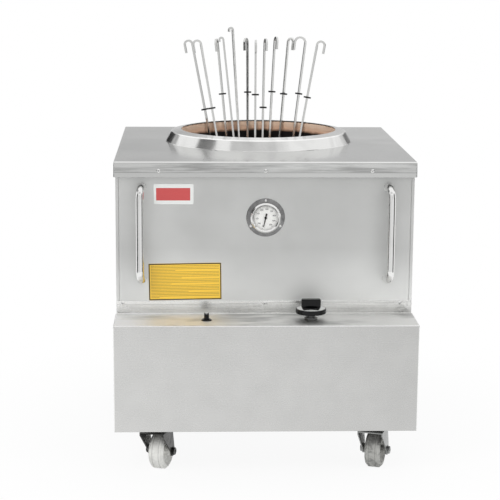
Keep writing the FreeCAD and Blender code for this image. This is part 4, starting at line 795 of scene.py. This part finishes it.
def clipped(shape, limit):
    """A radius by angle that goes no further than a limit."""
    return lambda angle: min(shape(angle), limit)


def nut(shape, centre, axis, across, height, bore):
    """A hexagon nut with its corners chamfered at both faces, standing on centre."""
    six = hexagon(across)
    edge = clipped(six, across / 2 * 1.01)
    chamfer = 0.12 * across
    return shape.around(centre, axis, [(bore, 0), (edge, 0), (six, chamfer), (six, height - chamfer),
                                       (edge, height), (bore, height)], 72, closed=True)


# ---------------------------------------------------------------- the oven

def fork_metal(corner):
    """The casters whose wheels are painted lit have forks painted dark as shade, and the others plated ones.
    """
    return "caster_dark" if corner in PAINTED_LIT_WHEELS else "caster_zinc"


def joints(prefix):
    """The corner or number, the pivot and the axis of each joint whose name starts so."""
    for joint in frame["record"]["behaviour"]["joints"]:
        if joint["name"].startswith(prefix):
            centre = Vector(joint.get("pos_m", (0, 0, 0)))
            yield joint["name"][len(prefix):], centre, Vector(joint["axis"]).normalized()


def dress_nodes(kit):
    """Gives every node of the frame its finish: that of its slot, or one of its own."""
    slots = {part["node"]: part["material_slot"] for part in frame["record"]["subparts"]}
    special = {"gas_valve": "valve_metal", "mouth_collar": "collar_steel", "name_plate": "plate_white",
               "thermometer_case": "gauge_flange", "valve_locknut": "dark_polish",
               "valve_push_sleeve": "dark_polish", "valve_stem": "dark_polish"}
    for corner, centre, axis in joints("roll_"):
        # painted light and shade: one rubber is made light on the lit casters and dark and mottled on the
        # shaded ones
        tone, mottle = (srgb(242, 242, 238), 0.2) if corner in PAINTED_LIT_WHEELS else (srgb(178, 178, 174), 0.8)
        kit["tyre_" + corner] = tyre("tyre_" + corner, tone, centre, axis, mottle)
        special["caster_wheel_" + corner] = "tyre_" + corner
        special["caster_fork_" + corner] = fork_metal(corner)
    for name, node in NODES.items():
        material = kit[special.get(name, slots[name])]
        node.data.materials.clear()
        node.data.materials.append(material)
        if not node.data.polygons[0].use_smooth:
            for face in node.data.polygons:
                face.use_smooth = True
            node.data.set_sharp_from_angle(angle=math.radians(28))


def front_at(x, y, z, turn=0.0):
    """A plate's own plane stood up against the front: its x to the right, its y up, out of the panel."""
    upright = Matrix(((1, 0, 0), (0, 0, -1), (0, 1, 0))).to_4x4()
    return Matrix.Translation((x * MM, y * MM, z * MM)) @ upright @ Matrix.Rotation(turn, 4, "Z")


def make_plates(kit):
    """The bare red field of the name plate, and the notice's border and ruled lines."""
    place = front_at(-248.2, PANEL_FACE - 0.1, 748)
    field = Shape().slab(rounded_box(91.5 * MM, 34 * MM, 0.6 * MM), place, 0.22 * MM)
    field.piece("name_plate_field", kit["name_plate_red"], "cabinet", "name_plate_red")
    place = front_at(-216.5, PANEL_FACE, 508, math.radians(0.9))
    width, height, band, thick = 197 * MM, 101.5 * MM, 3.2 * MM, 0.3 * MM
    outer = rounded_box(width - 0.6 * MM, height - 0.6 * MM, 0.5 * MM, 3)
    inner = rounded_box(width - 2 * band, height - 2 * band, 0.3 * MM, 3)
    border = Shape().loft([[place @ Vector((x, y, level)) for x, y in ring] for ring, level
                           in ((outer, 0.0), (outer, thick), (inner, thick), (inner, 0.0))], closed=True)
    border.piece("notice_border", kit["print_black"], "cabinet", "notice_yellow", smooth=False)
    rules = Shape()
    left = -width / 2 + 6 * MM
    full = width - 12 * MM
    row = height / 2 - 7 * MM
    step, half = 4.15 * MM, 0.45 * MM
    short = {3: 0.36, 8: 0.45, 12: 0.3, 17: 0.55, 21: 0.12}
    number = 0
    while row > -height / 2 + 5 * MM:
        right = left + full * short.get(number, 1.0)
        rules.slab([(left, row - half), (right, row - half), (right, row + half), (left, row + half)],
                   place, 0.26 * MM)
        row -= step
        number += 1
    rules.piece("notice_rules", kit["print_ink"], "cabinet", "notice_yellow", smooth=False)


def make_dial(kit):
    """Scale marks and numbers on the thermometer's dial."""
    place = Matrix.Translation((GAUGE[0], -340.05 * MM, GAUGE[1])) @ front_at(0, 0, 0)
    numbers, parts = 10, 5
    raised = 0.08 * MM
    start, sweep = math.radians(196), math.radians(308)
    marks = Shape()
    for i in range(parts * (numbers - 1) + 1):
        angle = math.pi / 2 - (start + sweep * i / (parts * (numbers - 1)))
        inner, half = (28.4 * MM, 0.42 * MM) if i % parts == 0 else (30.2 * MM, 0.2 * MM)
        outer = 31.6 * MM
        c, s = math.cos(angle), math.sin(angle)
        outline = [(inner * c + half * s, inner * s - half * c), (outer * c + half * s, outer * s - half * c),
                   (outer * c - half * s, outer * s + half * c), (inner * c - half * s, inner * s + half * c)]
        marks.slab(outline, place, 0.15 * MM)
    for i in range(numbers):
        angle = math.pi / 2 - (start + sweep * i / (numbers - 1))
        text = bpy.data.curves.new("number", "FONT")
        text.body = str(50 * (i + 1))
        text.size = 5.6 * MM
        text.align_x = "CENTER"
        text.align_y = "CENTER"
        text.extrude = raised
        text.offset = 0.12 * MM
        holder = bpy.data.objects.new("number", text)
        flat = bpy.data.meshes.new_from_object(holder)
        spot = Vector((23.6 * MM * math.cos(angle), 23.6 * MM * math.sin(angle), raised))
        marks.mesh(flat, place @ Matrix.Translation(spot))
        bpy.data.objects.remove(holder)
    marks.piece("dial_marks", kit["dial_ink"], "cabinet", "dial_face", smooth=False)


def make_needle(kit):
    """A tapered blade with a tail over the thermometer's needle, and its hub cap."""
    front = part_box("thermometer_needle")[0].y
    hub = Vector((GAUGE[0], 0, GAUGE[1]))
    flat = [Vector((v.co.x, 0, v.co.z)) - hub for v in NODES["thermometer_needle"].data.vertices]
    tip = max(flat, key=lambda p: p.length)
    run = tip.normalized()
    aside = Vector((-run.z, 0, run.x))
    edge = [(-10.5 * MM, 1.1 * MM), (-9.5 * MM, 2.3 * MM), (-6.5 * MM, 2.2 * MM), (-3.0 * MM, 1.3 * MM),
            (3.0 * MM, 1.5 * MM), (tip.length, 0.35 * MM)]
    outline = [hub + run * s + aside * w for s, w in edge]
    outline += [hub + run * s - aside * w for s, w in reversed(edge)]
    blade = Shape().loft([[p + Vector((0, front + y * MM, 0)) for p in outline] for y in (0.05, -0.25)])
    blade.piece("needle_blade", kit["needle_black"], "needle", "needle_black", smooth=False)
    profile = [(3.6 * MM, 0), (3.6 * MM, 0.35 * MM), (2.9 * MM, 0.75 * MM), (1.0 * MM, 0.9 * MM)]
    cap = Shape().around((GAUGE[0], front, GAUGE[1]), (0, -1, 0), profile, 32)
    cap.piece("needle_cap", kit["needle_black"], "needle", "needle_black")


def make_knob_ring(kit):
    """The plated cone between the knob's skirt and its grip."""
    low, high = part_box("control_knob")
    middle = (low + high) / 2
    reach = (high.x - low.x) / 2
    rim = [v.co.z for v in NODES["control_knob"].data.vertices
           if (Vector((v.co.x, v.co.y)) - Vector((middle.x, middle.y))).length > 0.9 * reach]
    ring = Shape().around((middle.x, middle.y, max(rim)), (0, 0, 1),
                          [(0.6 * reach, -0.3 * MM), (0.6 * reach, 4.6 * MM), (0.64 * reach, 4.6 * MM),
                           (0.93 * reach, 0.3 * MM), (0.93 * reach, -0.3 * MM)], 72, closed=True)
    ring.piece("knob_skirt_cone", kit["polished_trim"], "knob", "black_knob")


def make_welds(kit):
    """Weld beads: handles to panel, collar to cover."""
    beads = Shape()
    for side in (-1, 1):
        for z in HANDLE_ENDS:
            ring = []
            for k in range(60):
                angle = TURN * k / 60
                radius = 10.6 * MM + 0.15 * MM * math.sin(14 * angle)
                ring.append(Vector((side * HANDLE_X * MM + radius * math.cos(angle), PANEL_FACE * MM,
                                    z * MM + radius * math.sin(angle))))
            beads.tube(ring, 0.9 * MM, 8, closed=True)
    beads.piece("handle_welds", kit["top_steel"], "cabinet", "panel_steel")
    seam = []
    girth = []
    radius, height = 274.3 * MM, 838.2 * MM
    for k in range(360):
        angle = TURN * k / 360
        seam.append(Vector((MOUTH_AXIS[0] + radius * math.cos(angle),
                            MOUTH_AXIS[1] + radius * math.sin(angle), height)))
        girth.append((0.9 + 0.2 * math.sin(85 * angle) + random.uniform(-0.1, 0.1)) * MM)
    weld = Shape().tube(seam, girth, 8, closed=True)
    weld.piece("collar_weld", kit["polished_trim"], "cabinet", "top_steel")


def make_rivets(kit):
    """The broken pins in the middle of the pulled rivets in the cover's flange and the strip."""
    flange_row, strip_row = (-350.0, 813.5), (-336.5, 447)      # y, z
    spots = [(x, *flange_row) for x in COVER_RIVETS] + [(x, *strip_row) for x in STRIP_RIVETS]
    profile = [(2.0 * MM, 0.2 * MM), (2.0 * MM, 1.5 * MM), (1.4 * MM, 1.75 * MM)]
    pins = Shape()
    for x, y, z in spots:
        pins.around((x * MM, y * MM, z * MM), (0, -1, 0), profile, 20)
    pins.piece("rivet_pins", kit["dark_polish"], "cabinet", "zinc_hardware")


def make_corner_seams(kit):
    """The open joint at each corner of the cover's flange, seen as a dark line with a round foot."""
    heights = (797, 799, 806, 815, 825, 833)
    radii = [r * MM for r in (0.85, 0.85, 0.7, 0.6, 0.5, 0.3)]
    seams = Shape()
    for x in (-406.6, 406.6):
        for y in (-349.1, 462.1):
            seams.tube([Vector((x * MM, y * MM, z * MM)) for z in heights], radii, 10)
    seams.piece("cover_corner_seams", kit["stop_black"], "cabinet", "top_steel")


def make_stops(kit):
    """Blackened washers over the skewers' stops, found from the skewers' own meshes."""
    thick = 0.0045
    rim_from, rim_to = 0.0085, 0.012    # how far a stop's rim lies from the bar's axis
    above_tip, hook = 0.4, 0.06         # no stop is nearer to the bar's tip, or to the hook's top
    fewest = 30                         # points in a stop's rim
    profile = [(4.5 * MM, 0), (10.9 * MM, 0), (11.3 * MM, 0.5 * MM), (11.3 * MM, 4.1 * MM),
               (10.9 * MM, 4.6 * MM), (4.5 * MM, 4.6 * MM)]
    for number, _, axis in joints("lift_skewer_"):
        points = [v.co for v in NODES["skewer_" + number].data.vertices]
        lowest = min(p.dot(axis) for p in points)
        foot = [p for p in points if p.dot(axis) < lowest + 0.0005]
        tip = sum(foot, Vector()) / len(foot)
        top = max((p - tip).dot(axis) for p in points)
        rims = []
        for p in points:
            along = (p - tip).dot(axis)
            off = (p - tip - axis * along).length
            if rim_from < off < rim_to and above_tip < along < top - hook:
                rims.append(along)

        def found(start):
            return sum(start <= rim <= start + thick for rim in rims)

        best = max(rims, key=found, default=None)
        if best is None or found(best) < fewest:
            continue
        washer = Shape().around(tip + axis * (best - 0.0003), axis, profile, 40, closed=True)
        washer.piece("stop_washer_" + number, kit["stop_black"], "skewer_" + number, "skewer_steel")


def make_casters(kit):
    """Axle washers and hexagon nuts over the casters' axle ends."""
    washer = [(5.2 * MM, 0), (12.2 * MM, 0), (12.2 * MM, 1.2 * MM), (5.2 * MM, 1.2 * MM)]
    for corner, centre, axis in joints("roll_"):
        shape = Shape()
        for out in (-axis, axis):
            shape.around(centre + out * 34.4 * MM, out, washer, 36, closed=True)
            nut(shape, centre + out * 35.5 * MM, out, 19 * MM, 5.4 * MM, 4 * MM)
        # the axle nuts take the fork's finish, painted shade included
        shape.piece("axle_nuts_" + corner, kit[fork_metal(corner)], "fork_" + corner, "caster_zinc")


add_camera()
light_world()
for lamp in LAMPS:
    add_lamp(*lamp)
add_floor()
for card in CARDS:
    add_card(*card)

kit = finishes()
dress_nodes(kit)
make_plates(kit)
make_dial(kit)
make_needle(kit)
make_knob_ring(kit)
make_welds(kit)
make_rivets(kit)
make_corner_seams(kit)
make_stops(kit)
make_casters(kit)

bpy.context.scene.view_settings.view_transform = "Standard"
bpy.context.view_layer.update()
